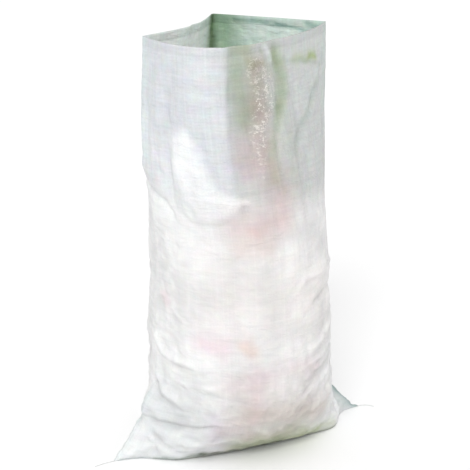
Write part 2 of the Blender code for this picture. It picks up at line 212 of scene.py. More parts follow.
# Folds of each panel, there before the cloth settles: the line each follows, how far it rises, and its width
FRONT_FOLDS = (
    ((-280, 760, -280, 690, -300, 620, -310, 565), 45, 100),
    ((-70, 760, -20, 690, -60, 600, -110, 515), 40, 200),
    ((-200, 760, -200, 660, -220, 600), -30, 130),
    ((160, 760, 140, 657, 60, 576, 40, 519), -40, 130),
    ((790, 700, 630, 654, 430, 601, 310, 557), 50, 140),
    ((950, 690, 800, 620, 620, 560), -35, 120),
    ((-940, 626, -800, 635, -700, 642, -570, 630), 30, 100),
    ((-660, 600, -660, 560, -600, 500, -500, 474, -340, 474, -170, 496), 85, 160),
    ((-470, 610, -410, 570, -370, 530, -310, 512), -40, 120),
    ((-1000, 502, -900, 493, -800, 482, -700, 453), -70, 90),
    ((-1000, 540, -880, 522, -750, 508), 40, 130),
    ((-930, 340, -880, 312, -740, 300), -35, 80),
    ((-1000, 226, -900, 206, -680, 200, -450, 194), 45, 90),
    ((-980, 166, -880, 136, -750, 122, -620, 108), 45, 90),
    ((-1000, 150, -900, 112, -780, 98), -40, 80),
    ((-1000, 82, -860, 73, -700, 71, -520, 73, -360, 84), -75, 90),
    ((-960, 82, -820, 60, -660, 46, -440, 26), 60, 100),
    ((860, 334, 500, 352, 200, 348, 60, 316), 45, 90),
    ((740, 300, 460, 302, 200, 288), -35, 90),
    ((860, 240, 490, 232, 170, 200), 45, 90),
    ((880, 196, 570, 160, 260, 146, 60, 112), -45, 90),
    ((820, 150, 500, 124, 220, 96), 40, 90),
    ((900, 90, 840, 50, 740, 14), -60, 70),
    ((660, 90, 700, 50, 620, 16), 40, 90),
    ((20, 40, 200, 38, 420, 46, 600, 30), 40, 70),
)
BACK_FOLDS = (
    ((-400, 760, -360, 690, -300, 610), 40, 140),
    ((550, 700, 400, 620, 150, 560), 50, 140),
    ((-900, 500, -550, 475, -200, 492, 100, 470), 65, 140),
    ((950, 512, 700, 482, 450, 470), -60, 110),
    ((200, 380, 500, 362, 800, 372), 40, 100),
    ((-850, 330, -500, 300, -250, 310), -40, 90),
    ((-900, 240, -600, 215, -300, 220), 45, 100),
    ((250, 160, 600, 175, 920, 205), 45, 100),
    ((-950, 130, -700, 118, -420, 130), -45, 90),
    ((900, 110, 700, 60, 450, 20), 50, 100),
    ((-880, 100, -660, 50, -450, 18), 50, 100),
    ((980, 80, 750, 78, 500, 90), -55, 90),
)
# Sharper creases that the settled cloth keeps, given in the same way
FRONT_CREASES = (
    ((-240, 738, -260, 672, -260, 623, -270, 569, -280, 519), -16, 55),
    ((50, 752, 80, 741, 110, 732, 100, 722), 16, 40),
    ((200, 724, 380, 716, 550, 707, 760, 694), -18, 40),
    ((240, 702, 200, 650, 100, 600, 50, 550), 16, 50),
    ((840, 705, 700, 676, 570, 657, 460, 626, 330, 601, 220, 569), -22, 80),
    ((780, 704, 640, 676, 500, 650, 380, 620), 18, 60),
    ((-520, 512, -420, 498, -300, 492, -190, 498), 16, 50),
    ((-700, 486, -580, 458, -420, 456, -240, 478), -18, 50),
    ((950, 318, 730, 326, 450, 342, 170, 348, 80, 319), 26, 55),
    ((800, 300, 490, 304, 220, 291), -24, 55),
    ((920, 266, 480, 236, 170, 206), 30, 50),
    ((990, 222, 600, 206, 340, 192, 100, 176), 30, 50),
    ((990, 202, 580, 176, 300, 160, 160, 146), -32, 50),
    ((980, 178, 500, 152, 260, 138, 120, 115), 32, 50),
    ((900, 152, 520, 132, 300, 116), -28, 45),
    ((840, 128, 480, 110, 260, 92), 28, 50),
    ((620, 20, 520, 23, 440, 14), 18, 40),
    ((900, 110, 870, 60, 810, 22, 760, 0), 30, 48),
    ((-1000, 226, -900, 204, -680, 198, -550, 191), 24, 50),
    ((-1000, 206, -860, 190, -660, 184), -18, 50),
    ((-980, 160, -880, 134, -750, 122, -680, 111), 26, 50),
    ((-1000, 148, -920, 124, -800, 112, -720, 100), -22, 45),
    ((-800, 160, -590, 158, -450, 152), 18, 50),
    ((-700, 147, -550, 146, -400, 140), -16, 50),
    ((-980, 84, -860, 75, -710, 71, -560, 73, -400, 78), -26, 45),
    ((-980, 90, -880, 68, -700, 56, -440, 36), 26, 55),
    ((-890, 58, -740, 36, -570, 15), -24, 50),
    ((-970, 70, -860, 44, -700, 22, -500, 4), 22, 50),
)
BACK_CREASES = (
    ((300, 752, 420, 716, 500, 680), 16, 60),
    ((-600, 750, -520, 700, -500, 640), -16, 60),
    ((-920, 226, -600, 204, -340, 190), 22, 50),
    ((-900, 190, -580, 172, -300, 156), -22, 50),
    ((-880, 160, -500, 144, -260, 130), 22, 50),
    ((920, 230, 600, 212, 300, 190), 22, 50),
    ((950, 180, 660, 160, 340, 140), -22, 50),
    ((900, 140, 600, 126, 300, 112), 24, 50),
    ((980, 82, 800, 70, 550, 66), -24, 50),
    ((950, 70, 780, 44, 520, 22), 24, 50),
    ((-980, 80, -800, 68, -550, 66), -24, 50),
    ((-950, 68, -760, 42, -500, 20), 24, 50),
    ((-800, 360, -400, 372, -100, 350), 18, 60),
    ((850, 330, 500, 318, 200, 330), -18, 60),
)
# Folds fade at both ends of their lines, but not one that starts above this height or beyond this u
WHOLE_ABOVE = 0.75
WHOLE_BEYOND = 0.97
LINE_START = 0.25
LINE_END = 0.2
LEAST_FOLD = 0.25
# Painted shade in the folds' hollows and painted light on their ridges: the colour is scaled by 1 +
# CREASE_SHADE times the relief, kept within SHADE_RANGE
CREASE_SHADE = 38.0
SHADE_RANGE = (0.85, 1.05)

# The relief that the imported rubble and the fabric's own creasing give the cloth
BULGE_SIZE = 0.085
BULGE_RISE = 0.0038
BULGE_SPREAD = (0.1, 0.85)
BULGE_HEIGHTS = (0.4, 0.5)
CRUMPLE_SIZE = 0.036
CRUMPLE_RISE = 0.0022
CRUMPLE_NOISE = (0.9, 2.1, 4, 0.9, 1.6)
CRUMPLE_LEVEL = 0.9
CRUMPLE_FLATNESS = 1.7
CRUMPLE_SHARES = (0.3, 0.2, 0.6)
STRONG_SIDES = (0.45, 0.9)
STRONG_HEIGHTS = (0.1, 0.26)
RIM_CALM = 0.03

# What shows through the cloth or stains it, and painted shade and highlights on its creases, rim, ears and
# bottom edge: the line each mark follows, its colour, strength and width
FRONT_TINTS = (
    ((-980, 745, -450, 600), (965, 978, 1000), 0.9, 900),
    ((-960, 600, -800, 560, -700, 530), (1130, 1125, 1120), 0.9, 340),
    ((-880, 440, -800, 330, -840, 240), (1060, 1060, 1060), 0.9, 500),
    ((-190, 754, -190, 704, -180, 654, -170, 632), (690, 755, 635), 0.95, 190),
    ((-120, 757, -100, 735), (760, 800, 640), 0.8, 120),
    ((-50, 712, -50, 682, -70, 655), (690, 625, 545), 0.95, 290),
    ((-90, 722, 20, 728), (760, 720, 600), 0.8, 60),
    ((-70, 632, -110, 560), (965, 865, 865), 0.9, 280),
    ((-100, 570, -20, 540, 20, 500), (930, 870, 870), 0.85, 340),
    ((-240, 604, -210, 545), (980, 900, 930), 0.9, 200),
    ((-50, 550, 0, 526, 60, 500), (1130, 1120, 1140), 0.9, 280),
    ((-540, 262, -360, 256), (930, 900, 905), 0.8, 220),
    ((-300, 745, -300, 690), (915, 915, 910), 0.9, 140),
    ((40, 722, 100, 704), (900, 905, 830), 0.9, 100),
    ((160, 736, 190, 707, 180, 676, 130, 645), (640, 710, 550), 0.95, 170),
    ((140, 738, 170, 722), (840, 880, 760), 0.8, 110),
    ((0, 748, 50, 734), (840, 870, 780), 0.8, 45),
    ((130, 749, 90, 735), (920, 940, 900), 0.8, 45),
    ((120, 641, 70, 613, 10, 579, 0, 530), (840, 885, 770), 0.9, 160),
    ((200, 600, 140, 520), (930, 925, 890), 0.8, 220),
    # Painted highlight along the crease ridge below the rim
    ((50, 752, 100, 738, 100, 727), (1220, 1220, 1240), 0.9, 50),
    ((360, 720, 500, 716, 600, 715, 700, 712), (850, 895, 720), 0.9, 100),
    ((560, 714, 670, 712), (700, 810, 420), 0.9, 75),
    ((440, 715, 600, 712), (860, 880, 840), 0.8, 50),
    # Painted shade along the crease valley beneath it
    ((240, 722, 380, 715, 550, 706, 780, 692), (900, 930, 915), 0.9, 40),
    # Painted shade along the long crease valley on the right
    ((840, 705, 570, 657, 330, 601, 220, 569), (890, 930, 905), 0.9, 100),
    ((960, 770, 880, 640, 940, 500), (870, 960, 925), 0.8, 220),
    ((970, 650, 985, 470), (830, 900, 875), 0.9, 120),
    ((-1000, 760, -980, 560), (1000, 1075, 1045), 0.9, 200),
    ((-100, 600, 60, 500), (955, 905, 880), 0.8, 340),
    ((-300, 456, -140, 448, 20, 456), (875, 775, 770), 0.9, 250),
    ((-40, 505, 20, 470), (950, 895, 895), 0.9, 360),
    ((-220, 484, -120, 456), (930, 890, 885), 0.9, 220),
    ((-200, 443, -170, 440), (960, 880, 860), 0.8, 110),
    ((-280, 420, -100, 415), (950, 870, 830), 0.8, 200),
    ((-900, 310, -860, 300), (960, 860, 880), 0.8, 110),
    ((-560, 240, -420, 232), (965, 840, 890), 0.9, 170),
    ((-280, 238, -240, 225), (990, 850, 790), 0.9, 130),
    ((-380, 165, -100, 180), (975, 905, 915), 0.8, 220),
    ((50, 190, 300, 170), (980, 900, 910), 0.8, 180),
    ((-250, 106, 400, 82), (760, 690, 650), 0.9, 320),
    ((220, 335, 500, 305), (1050, 1050, 1045), 0.8, 500),
    ((-300, 150, 160, 140), (870, 845, 835), 0.9, 400),
    ((-300, 330, 250, 300), (965, 930, 915), 0.9, 900),
    ((-1000, 130, -600, 80, -500, 20), (900, 915, 920), 0.9, 550),
    # Painted shade on the foot's rounded front as it turns under
    ((-260, 40, -40, 48, 180, 50), (860, 885, 810), 0.9, 320),
    # Painted shade, olive, low on the front where it turns under
    ((-240, 26, -20, 36, 240, 32), (600, 620, 470), 0.9, 170),
    # The same painted shade, further right
    ((260, 32, 560, 14), (850, 885, 760), 0.9, 180),
    ((-200, 52, 120, 56), (820, 780, 730), 0.8, 140),
    ((-360, 76, -200, 62), (850, 780, 790), 0.8, 190),
    # Painted shadow: a near-black line along the bottom edge by the floor
    ((-460, 11, 100, 12), (250, 265, 210), 0.95, 68),
    # The same painted shadow, further right
    ((100, 12, 340, 11), (680, 690, 640), 0.9, 62),
    # Painted shade on the folded seam edge under the left ear
    ((-740, 7, -440, 10), (560, 610, 570), 0.9, 60),
    # Painted shade, olive, low on the front
    ((-160, 22, 60, 26), (720, 765, 640), 0.9, 150),
    ((-460, 100, -400, 50, -340, 22), (950, 890, 945), 0.8, 180),
    ((-220, 180, -200, 100), (955, 870, 890), 0.7, 180),
    # Painted shade, olive, just above the bottom edge
    ((-120, 8, 160, 20, 400, 14), (800, 860, 640), 0.9, 110),
    # Painted shadow: a dark line where the cloth meets the floor
    ((-600, 1, -200, 1, 620, 1), (380, 410, 340), 0.95, 48),
    # Painted shadow along the left ear's bottom edge
    ((-960, 1, -600, 1), (620, 690, 680), 0.9, 40),
    # Painted highlight on the right ear's fold edge
    ((900, 52, 800, 22, 740, 0), (1100, 1090, 1100), 0.95, 55),
    # Painted shade in the crease beside it
    ((860, 62, 740, 28, 690, 0), (820, 830, 860), 0.9, 40),
    ((970, 60, 930, 30, 950, 4), (820, 880, 870), 0.9, 180),
    ((1000, 50, 990, 4), (720, 790, 780), 0.9, 110),
    ((1000, 90, 1000, 0), (560, 660, 650), 0.9, 50),
    ((-1000, 120, -1000, 0), (900, 940, 930), 0.9, 40),
    ((-920, 90, -800, 20), (870, 885, 890), 0.8, 500),
    # Painted highlight along the rim's fold
    ((-1000, 760, 1000, 760), (1100, 1090, 1060), 0.9, 22),
    # Darker line at the hem's raw edge: its frayed edge, partly painted shadow
    ((-1000, 745.5, 1000, 745.5), (930, 940, 930), 0.8, 24),
)
BACK_TINTS = (
    ((-1000, 800, 20, 800), (960, 1020, 980), 0.9, 1500),
    # Inside the mouth, right of the back crease: the cloth's green, partly painted shade of the dim inside
    ((220, 770, 300, 640), (500, 560, 500), 0.9, 440),
    ((240, 800, 1000, 800), (705, 840, 770), 0.9, 1500),
    ((200, 760, 200, 640), (680, 800, 640), 0.9, 300),
    # Painted shade in the back crease inside the mouth
    ((130, 760, 135, 640), (310, 380, 250), 0.95, 110),
    ((85, 760, 90, 640), (740, 760, 660), 0.9, 140),
    # Darker strokes at the hem's raw edge inside: its frayed edge, partly painted shadow
    ((300, 752, 450, 750, 600, 746), (520, 640, 600), 0.9, 30),
    ((440, 754, 600, 752, 700, 748), (600, 700, 670), 0.9, 26),
    ((620, 748, 730, 744, 880, 741), (400, 540, 510), 0.9, 36),
    # Painted shade in the narrow inside corner at the right crease
    ((860, 754, 940, 748, 980, 740), (520, 640, 620), 0.9, 55),
    ((350, 713, 500, 719, 650, 732), (820, 860, 850), 0.9, 45),
    ((300, 700, 600, 712), (860, 930, 890), 0.9, 60),
    # Darker line at the hem's raw edge, partly painted shadow
    ((-950, 745.5, 50, 745.5), (900, 910, 900), 0.9, 30),
    ((-1000, 760, 1000, 760), (930, 940, 930), 0.9, 20),
    ((-200, 430, 250, 440), (960, 850, 830), 0.8, 300),
    ((450, 260, 600, 240), (965, 840, 830), 0.8, 220),
    ((-550, 190, -400, 200), (965, 860, 880), 0.8, 220),
    # Painted shade, olive, where the back turns under
    ((-450, 12, 600, 12), (850, 885, 760), 0.9, 180),
    # Painted shadow: a dark line where the cloth meets the floor
    ((-620, 1, 640, 1), (450, 480, 400), 0.95, 45),
    ((-1000, 120, -1000, 0), (840, 920, 900), 0.9, 60),
    ((1000, 90, 1000, 0), (560, 660, 650), 0.9, 50),
)
# The marks' edges wander, but not at the rim or on the floor
MARK_DRIFT = 0.006
MARK_DRIFT_SIZE = 0.024
DRIFT_SLICE = 2.0
DRIFT_RIM = 0.03
DRIFT_FLOOR = 0.012
# The empty upper part lets light through and is painted greyer, as painted shade of its dim inside, and
# greyer still right of the ridge, as painted shade on the side turned from the light; a patch pressed against
# the fill is spared and painted lighter, a painted highlight
EMPTY_SHADE = (0.8, 0.812, 0.835)
EMPTY_RIGHT_SHADE = (0.675, 0.695, 0.685)
RIDGE_HEIGHTS = (0.5, 0.57, 0.67, 0.76)
RIDGE_U = (-0.28, -0.268, -0.258, -0.245)
RIDGE_BLUR = 0.008
EMPTY_END_U = (-1.0, 0.0, 1.0)
EMPTY_END = (0.47, 0.45, 0.43)
EMPTY_FADE = 0.07
# Painted highlight: the patch is painted lighter than the grey around it, most towards its top
PATCH_TOP_HIGHLIGHT = (1.08, 1.08, 1.08)
PATCH_HIGHLIGHT = (0.945, 0.95, 0.955)
PATCH_HEIGHTS = (0.5, 0.58)
HIGHLIGHT_PATCH = (
    (-0.64, 0.636), (-0.59, 0.592), (-0.56, 0.558), (-0.525, 0.528),
    (-0.44, 0.5), (-0.33, 0.492), (-0.2, 0.494),
)
PATCH_WIDTHS = (0.022, 0.028, 0.03, 0.031, 0.027, 0.016, 0.005)
PATCH_EDGE = (0.5, 1.35)
PATCH_START = (0.02, 0.2)
PATCH_POLISH = 0.3
# Where the cloth is polished and painted glints sparkle on it: the line of that strip, its widths and its
# strengths along it
POLISHED = ((-0.05, 0.718), (0.0, 0.7), (0.03, 0.672), (-0.05, 0.641), (-0.08, 0.61), (-0.09, 0.54))
POLISH_WIDTHS = (0.03, 0.034, 0.029, 0.019, 0.016, 0.013)
POLISH_SHARES = (0.7, 0.9, 1.0, 0.9, 0.7, 0.3)
POLISH_EDGE = (0.3, 1.1)
TAPE_WIDTH = 0.0026
WEFT_SEED = 517.3

# The broken pieces: the grid their surface is cut on, how far edges are worn, and the facets, dents and grain
CHUNK_GRID = 0.0026
SEED_SHIFT = (3.7, 1.3)
WORN_ROUNDS = 16
WEAR_FINENESS = 55
WEAR_RANGE = (-0.35, 0.35)
LEAST_WEAR = 0.25
FACET_SIZE = 0.026
FACET_SLOPE = 0.4
FACET_TURN = 5.3
DENT_FINENESS = 34
DENT_DEPTH = 0.0014
GRAIN_FINENESS = 120
GRAIN_NOISE = (0.8, 2.0, 4)
GRAIN_DEPTH = 0.0014
MIDDLE_CUT = 0.0012
LEAST_CUT = 0.0002

# The small bits on the dust: where they fall, their sizes, and when one stays on a loose piece
PEBBLE_SEED = 5
PEBBLE_TRIES = 1100
PEBBLE_REACH = 0.95
LEAST_PEBBLE = 0.0018
PEBBLE_SPREAD = 0.0075
PEBBLE_POWER = 2.4
PEBBLE_TURN = 3
PEBBLE_LIFT = 0.3
PEBBLE_SHAPE = (0.65, 1.25)
STAYING_SHARE = 0.35
STAYING_SLOPE = 0.85
STAYING_SIZE = 0.6
PEBBLE_CORNERS = ((1, 0, 0), (-1, 0, 0), (0, 1, 0), (0, -1, 0), (0, 0, 1), (0, 0, -1))
PEBBLE_SIDES = ((0, 2, 4), (2, 1, 4), (1, 3, 4), (3, 0, 4), (2, 0, 5), (1, 2, 5), (3, 1, 5), (0, 3, 5))

# Colours, the ramps as places and colours
GREY = (0.5, 0.5, 0.5, 1)
GAP_COLOUR = (0.5, 0.52, 0.51, 1)
GLINT_COLOUR = (1.0, 0.96, 0.9, 1)
TAPE_COLOURS = ((0.0, (0.87, 0.877, 0.877)), (1.0, (0.915, 0.919, 0.917)))
CRINKLE_SHADE_COLOURS = ((0.3, (0.955, 0.96, 0.965)), (0.65, (1.0, 1.0, 1.0)))
THREAD_COLOURS = ((0.3, (0.5, 0.51, 0.5)), (0.7, (0.76, 0.77, 0.76)))
FINES_COLOURS = (
    (0.0, (0.4, 0.17, 0.11)), (0.3, (0.52, 0.33, 0.26)), (0.6, (0.55, 0.5, 0.45)), (1.0, (0.68, 0.64, 0.58)),
)
FINES_DUST = (0.58, 0.47, 0.41, 1)
PORE_SHADE_COLOURS = ((0.06, (0.45, 0.42, 0.4)), (0.2, (1, 1, 1)))
BRICK_COLOURS = (
    (0.3, (0.3, 0.1, 0.06)), (0.45, (0.46, 0.18, 0.11)),
    (0.58, (0.55, 0.26, 0.17)), (0.72, (0.62, 0.42, 0.32)),
)
BRICK_GRITS = ((0.5, (0.25, 0.09, 0.06)), (0.75, (0.5, 0.27, 0.19)), (0.95, (0.62, 0.45, 0.36)))
BRICK_DUST = (0.64, 0.53, 0.46, 1)
CONCRETE_COLOURS = ((0.3, (0.33, 0.31, 0.29)), (0.5, (0.5, 0.48, 0.45)), (0.7, (0.64, 0.61, 0.57)))
CONCRETE_GRITS = ((0.5, (0.26, 0.23, 0.2)), (0.75, (0.47, 0.38, 0.3)), (0.95, (0.72, 0.72, 0.71)))
CONCRETE_DUST = (0.68, 0.65, 0.61, 1)
FLOOR_COLOUR = (0.95, 0.95, 0.95, 1)
ROOM_COLOUR = (1.0, 1.0, 1.0, 1)

# The room and its light
FLOOR_EDGE = 30.0
WORLD_LIGHT = 0.84
KEY_LIGHT = 1.5
KEY_SOFTNESS = math.radians(26)
KEY_HEADING = (0.48, 0.66, -0.58)

# The camera, placed from the photograph's vanishing lines
CAMERA_AZIMUTH = math.radians(30.0)
CAMERA_DISTANCE = 2.7
CAMERA_HEIGHT = 1.1523
CAMERA_YAW = math.radians(-0.2429)
CAMERA_PITCH = math.radians(15.8437)
FOCAL_PIXELS = 1550.3
FRAME_PIXELS = 470
SENSOR = 36.0


def smoothstep(low, high, value):
    t = np.clip((value - low) / (high - low), 0.0, 1.0)
    return t * t * (3 - 2 * t)


def fade(low, high, value):
    return 1 - smoothstep(low, high, value)


def lerp(a, b, t):
    return a + (b - a) * t


def bell(gap, width):
    return np.exp(-((gap / width) ** 2))


def read_profile(profile, height):
    """The value of a (height, value) profile, straight between its points."""
    heights, values = zip(*profile)
    return float(np.interp(height, heights, values))


def bezier(points, t):
    s = 1 - t
    weights = (s**3, 3 * s * s * t, 3 * s * t * t, t**3)
    return tuple(sum(w * p[axis] for w, p in zip(weights, points)) for axis in (0, 1))


def lengths_along(points):
    """How far along a polyline each of its points is."""
    return np.concatenate([[0], np.cumsum(np.linalg.norm(np.diff(points, axis=0), axis=1))])


def even_steps(points, count):
    """A polyline's points again, spaced evenly along it."""
    run = lengths_along(points)
    places = np.linspace(0, run[-1], count + 1)
    return np.stack([np.interp(places, run, points[:, axis]) for axis in range(points.shape[1])], axis=1)


# The sack's outline at each height


def mouth_point(u, front):
    """The mouth's outline seen from above. u runs from -1 at the left crease to 1 at the right crease."""
    left, right, meeting = FRONT_MOUTH if front else BACK_MOUTH
    if u < meeting:
        return bezier(left, (u + 1) / (meeting + 1))
    return bezier(right, (u - meeting) / (1 - meeting))


def body_point(u, front, height):
    """The full body's section: an ellipse of the tube's girth."""
    short = read_profile(SHORT_HALF, height)
    long = FILLED_GIRTH / math.pi - short
    shift = read_profile(SIDE_SHIFT, height)
    side = Vector((math.sin(AXIS_ANGLE), -math.cos(AXIS_ANGLE)))
    depth = Vector((math.cos(AXIS_ANGLE), math.sin(AXIS_ANGLE)))
    turn = math.radians(90 * (u - 1)) if front else math.radians(90 * (1 - u))
    ray = Vector((math.cos(turn), math.sin(turn)))
    reach = 1 / math.sqrt((ray.dot(side) / short) ** 2 + (ray.dot(depth) / long) ** 2)
    point = side * shift + ray * reach
    return point.x, point.y


def section_point(u, front, height, eared=True):
    """The sack's outline: a footprint with thin ears near the floor, the full body, then the mouth."""
    body = body_point(u, front, height)
    growth = read_profile(GROWTH, height)
    x = lerp(FOOT_REACH * math.sin(math.radians(90 * u)), body[0], growth)
    foot = read_profile(FOOT_FRONT, u) if front else FOOT_BACK
    if eared:
        x += read_profile(RIGHT_EAR if u > 0 else LEFT_EAR, height) * math.copysign(abs(u) ** EAR_POWER, u)
        shoulder, power = RIGHT_SHOULDER if u > 0 else LEFT_SHOULDER
        foot = foot * (1 - abs(u) ** FOOT_END_POWER) / (1 + (abs(x) / shoulder) ** power)
    else:
        foot *= math.cos(math.radians(90 * u)) ** FILL_FOOT_POWER
    y = lerp(-foot if front else foot, body[1], growth)
    opened = smoothstep(MOUTH_START, STAND_HEIGHT, height)
    mouth = mouth_point(u, front)
    return lerp(x, mouth[0], opened), lerp(y, mouth[1], opened)


def ring_at(height):
    """The front and back panels' outlines at a height, each with equal steps along the cloth."""
    steps = np.linspace(-1, 1, OUTLINE_STEPS + 1)
    front, back = (np.array([section_point(u, side, height) for u in steps]) for side in (True, False))
    ring = np.vstack([front, back[-2:0:-1]])
    lengths = np.linalg.norm(ring - np.roll(ring, 1, axis=0), axis=1)
    hold = smoothstep(MOUTH_START, FREE_START, height)
    scale = lerp(1.0, 2 * FLAT_WIDTH / lengths.sum(), hold)
    middle = ring.mean(axis=0)
    return [even_steps(middle + (panel - middle) * scale, PANEL_COLUMNS) for panel in (front, back)]


def target_panels():
    """Both panels as grids of points, rows from the mouth to the seam, columns from left to right crease."""
    heights = np.concatenate([
        np.linspace(STAND_HEIGHT, FINE_BELOW, HEIGHT_STEPS // 2, endpoint=False),
        np.linspace(FINE_BELOW, 0.0, HEIGHT_STEPS // 2 + 1),
    ])
    rings = [ring_at(height) for height in heights]
    panels = []
    for side in (0, 1):
        walls = np.zeros((len(heights), PANEL_COLUMNS + 1, 3))
        for row, (height, ring) in enumerate(zip(heights, rings)):
            walls[row, :, :2] = ring[side]
            walls[row, :, 2] = height
        seam = np.zeros((PANEL_COLUMNS + 1, 3))
        seam[:, 0] = np.linspace(-EAR_REACH, EAR_REACH, PANEL_COLUMNS + 1)
        under = [walls[-1] + (seam - walls[-1]) * t for t in np.linspace(0, 1, UNDER_STEPS + 1)[1:]]
        panels.append(np.concatenate([walls, np.array(under)]))
    return panels


# The cloth as a closed grid: rows from the mouth down to the seam, columns once round the tube


def cloth_rows(panel):
    """A panel's points again with even steps down each column."""
    return np.stack([even_steps(panel[:, column], ROWS) for column in range(PANEL_COLUMNS + 1)], axis=1)


def tube_grid():
    """The tube's points, row by row: the front panel left to right, then the back panel right to left."""
    front, back = (cloth_rows(panel) for panel in target_panels())
    return np.concatenate([front, back[:, -2:0:-1]], axis=1)


def tube_places():
    """Each column's place on its panel, from -1 at the left crease to 1, and whether that is the front."""
    columns = np.arange(2 * PANEL_COLUMNS)
    front = columns <= PANEL_COLUMNS
    return np.where(front, 2 * columns / PANEL_COLUMNS - 1, 3 - 2 * columns / PANEL_COLUMNS), front


def outward(grid):
    """Unit normals of the tube's grid, pointing out of the sack."""
    across = np.roll(grid, -1, axis=1) - np.roll(grid, 1, axis=1)
    down = np.gradient(grid, axis=0)
    normals = np.cross(down, across)
    return normals / np.maximum(np.linalg.norm(normals, axis=2, keepdims=True), TINY)


def relief_height(point, u):
    """Low bulges where rubble presses on the cloth, and fine creases, stronger low down and at the sides."""
    filled = fade(*BULGE_HEIGHTS, point.z)
    strong = max(smoothstep(*STRONG_SIDES, abs(u)), fade(*STRONG_HEIGHTS, point.z))
    bulge = 0.5 - smoothstep(*BULGE_SPREAD, noise.voronoi(point / BULGE_SIZE)[0][0])
    folded = Vector((point.x, point.y, CRUMPLE_FLATNESS * point.z)) / CRUMPLE_SIZE
    crumple = noise.ridged_multi_fractal(folded, *CRUMPLE_NOISE) - CRUMPLE_LEVEL
    everywhere, low, sides = CRUMPLE_SHARES
    share = everywhere + (low + sides * strong) * filled
    ends = smoothstep(0.0, RIM_CALM, STAND_HEIGHT - point.z)
    return BULGE_RISE * bulge * filled + CRUMPLE_RISE * crumple * share * ends


def line_distance(across, heights, line):
    """The distance from places on the cloth to a line of (u, height) places, and how far along it each is."""
    best = np.full(np.broadcast(across, heights).shape, np.inf)
    where = np.zeros(best.shape)
    run = 0.0
    for (u, height), (next_u, next_height) in zip(line, line[1:]):
        start = u * FLAT_WIDTH / 2
        over, up = next_u * FLAT_WIDTH / 2 - start, next_height - height
        length = math.hypot(over, up)
        t = np.clip(((across - start) * over + (heights - height) * up) / length**2, 0.0, 1.0)
        gap = np.hypot(across - start - t * over, heights - height - t * up)
        where = np.where(gap < best, run + t * length, where)
        best = np.minimum(best, gap)
        run += length
    return best, where / run


def line_of(run):
    """A table's line as (u, height) points."""
    return [(u / THOUSAND, height / THOUSAND) for u, height in zip(run[::2], run[1::2])]


def fold_heights(folds, across, heights):
    """How far a table's folds lift the cloth at each place."""
    total = np.zeros(heights.shape)
    for run, rise, width in folds:
        line = line_of(run)
        gap, where = line_distance(across, heights, line)
        whole = line[0][1] > WHOLE_ABOVE or abs(line[0][0]) > WHOLE_BEYOND
        start = 1.0 if whole else smoothstep(0.0, LINE_START, where)
        share = start * smoothstep(0.0, LINE_END, 1 - where)
        lift = rise / TEN_THOUSAND * bell(gap, width / TEN_THOUSAND)
        total += lift * lerp(LEAST_FOLD, 1.0, share)
    return total


def panel_folds(front_folds, back_folds, places, heights):
    """The folds of both panels at every place of the grid. Those that reach a side crease end round it."""
    u, front = places
    across = u * FLAT_WIDTH / 2
    total = np.zeros(heights.shape)
    for panel, folds in ((front, front_folds), (~front, back_folds)):
        other = np.copysign(FLAT_WIDTH, across) - across
        total += fold_heights(folds, np.where(panel, across, other), heights)
    return total


# The rubble behind the cloth


def lump_depth(point):
    """How far the rubble falls back from the cloth at a point: least on a lump's top, most between lumps."""
    large, small = (noise.voronoi(point / size)[0][0] for size in (LUMP_SIZE, CHIP_SIZE))
    return LUMP_DEPTH * smoothstep(*LUMP_SPREAD, large) + CHIP_DEPTH * smoothstep(*LUMP_SPREAD, small)


def fill_ring(height, inset):
    """The rubble's outline at a height: the cloth's, without its ears, set back behind it."""
    steps = np.linspace(-1, 1, OUTLINE_STEPS + 1)
    rings = [[section_point(u, front, height, eared=False) for u in steps] for front in (True, False)]
    ring = np.array(rings[0] + rings[1][-2:0:-1])
    ring = even_steps(np.vstack([ring, ring[:1]]), 2 * OUTLINE_STEPS)[:-1]
    run = np.roll(ring, -1, axis=0) - np.roll(ring, 1, axis=0)
    out = np.stack([run[:, 1], -run[:, 0]], axis=1) / np.linalg.norm(run, axis=1)[:, None]
    points = []
    for (x, y), (out_x, out_y) in zip(ring, out):
        back = inset + lump_depth(Vector((x, y, height)))
        points.append((x - back * out_x, y - back * out_y, height))
    return points


def heap_height(x, y):
    """The dusty top of the rubble between the loose pieces."""
    rough = noise.fractal(Vector((x, y, HEAP_SLICE)) * HEAP_FINENESS, *HEAP_NOISE)
    return FILL_TOP + HEAP_LIFT + HEAP_ROUGH * rough


def make_fill(inset):
    """The rubble seen through the mouth and felt through the cloth, as one closed lumpy body."""
    heights = list(np.linspace(FILL_FLOOR, FILL_LOW, FILL_LOW_ROWS, endpoint=False))
    heights += list(np.linspace(FILL_LOW, FILL_TOP, FILL_ROWS - FILL_LOW_ROWS))
    rings = [fill_ring(float(height), inset) for height in heights]
    count = len(rings[0])
    points = [point for ring in rings for point in ring]
    edge = np.array(rings[-1])
    middle = edge.mean(axis=0)
    shrinks = np.linspace(1, 0, HEAP_RINGS)[1:-1]
    for shrink in shrinks:
        for x, y, _ in middle + (edge - middle) * shrink:
            points.append((x, y, heap_height(x, y)))
    last = len(points) - count
    points.append((middle[0], middle[1], heap_height(middle[0], middle[1])))
    faces = ring_faces(len(rings) + len(shrinks), count)
    faces += [(last + column, last + (column + 1) % count, len(points) - 1) for column in range(count)]
    faces.append(tuple(range(count - 1, -1, -1)))
    return new_piece("rubble_fill", points, faces)


def ring_faces(rings, count, first=0):
    """The faces between rings of points, each ring above the one before it."""
    faces = []
    for ring in range(rings - 1):
        low = first + ring * count
        high = low + count
        for i in range(count):
            after = (i + 1) % count
            faces.append((low + i, low + after, high + after, high + i))
    return faces


def tube_faces(rows, columns):
    """The same for rows that run downwards."""
    return [(a, d, c, b) for a, b, c, d in ring_faces(rows, columns)]


def new_object(name, data):
    thing = bpy.data.objects.new(name, data)
    bpy.context.scene.collection.objects.link(thing)
    return thing


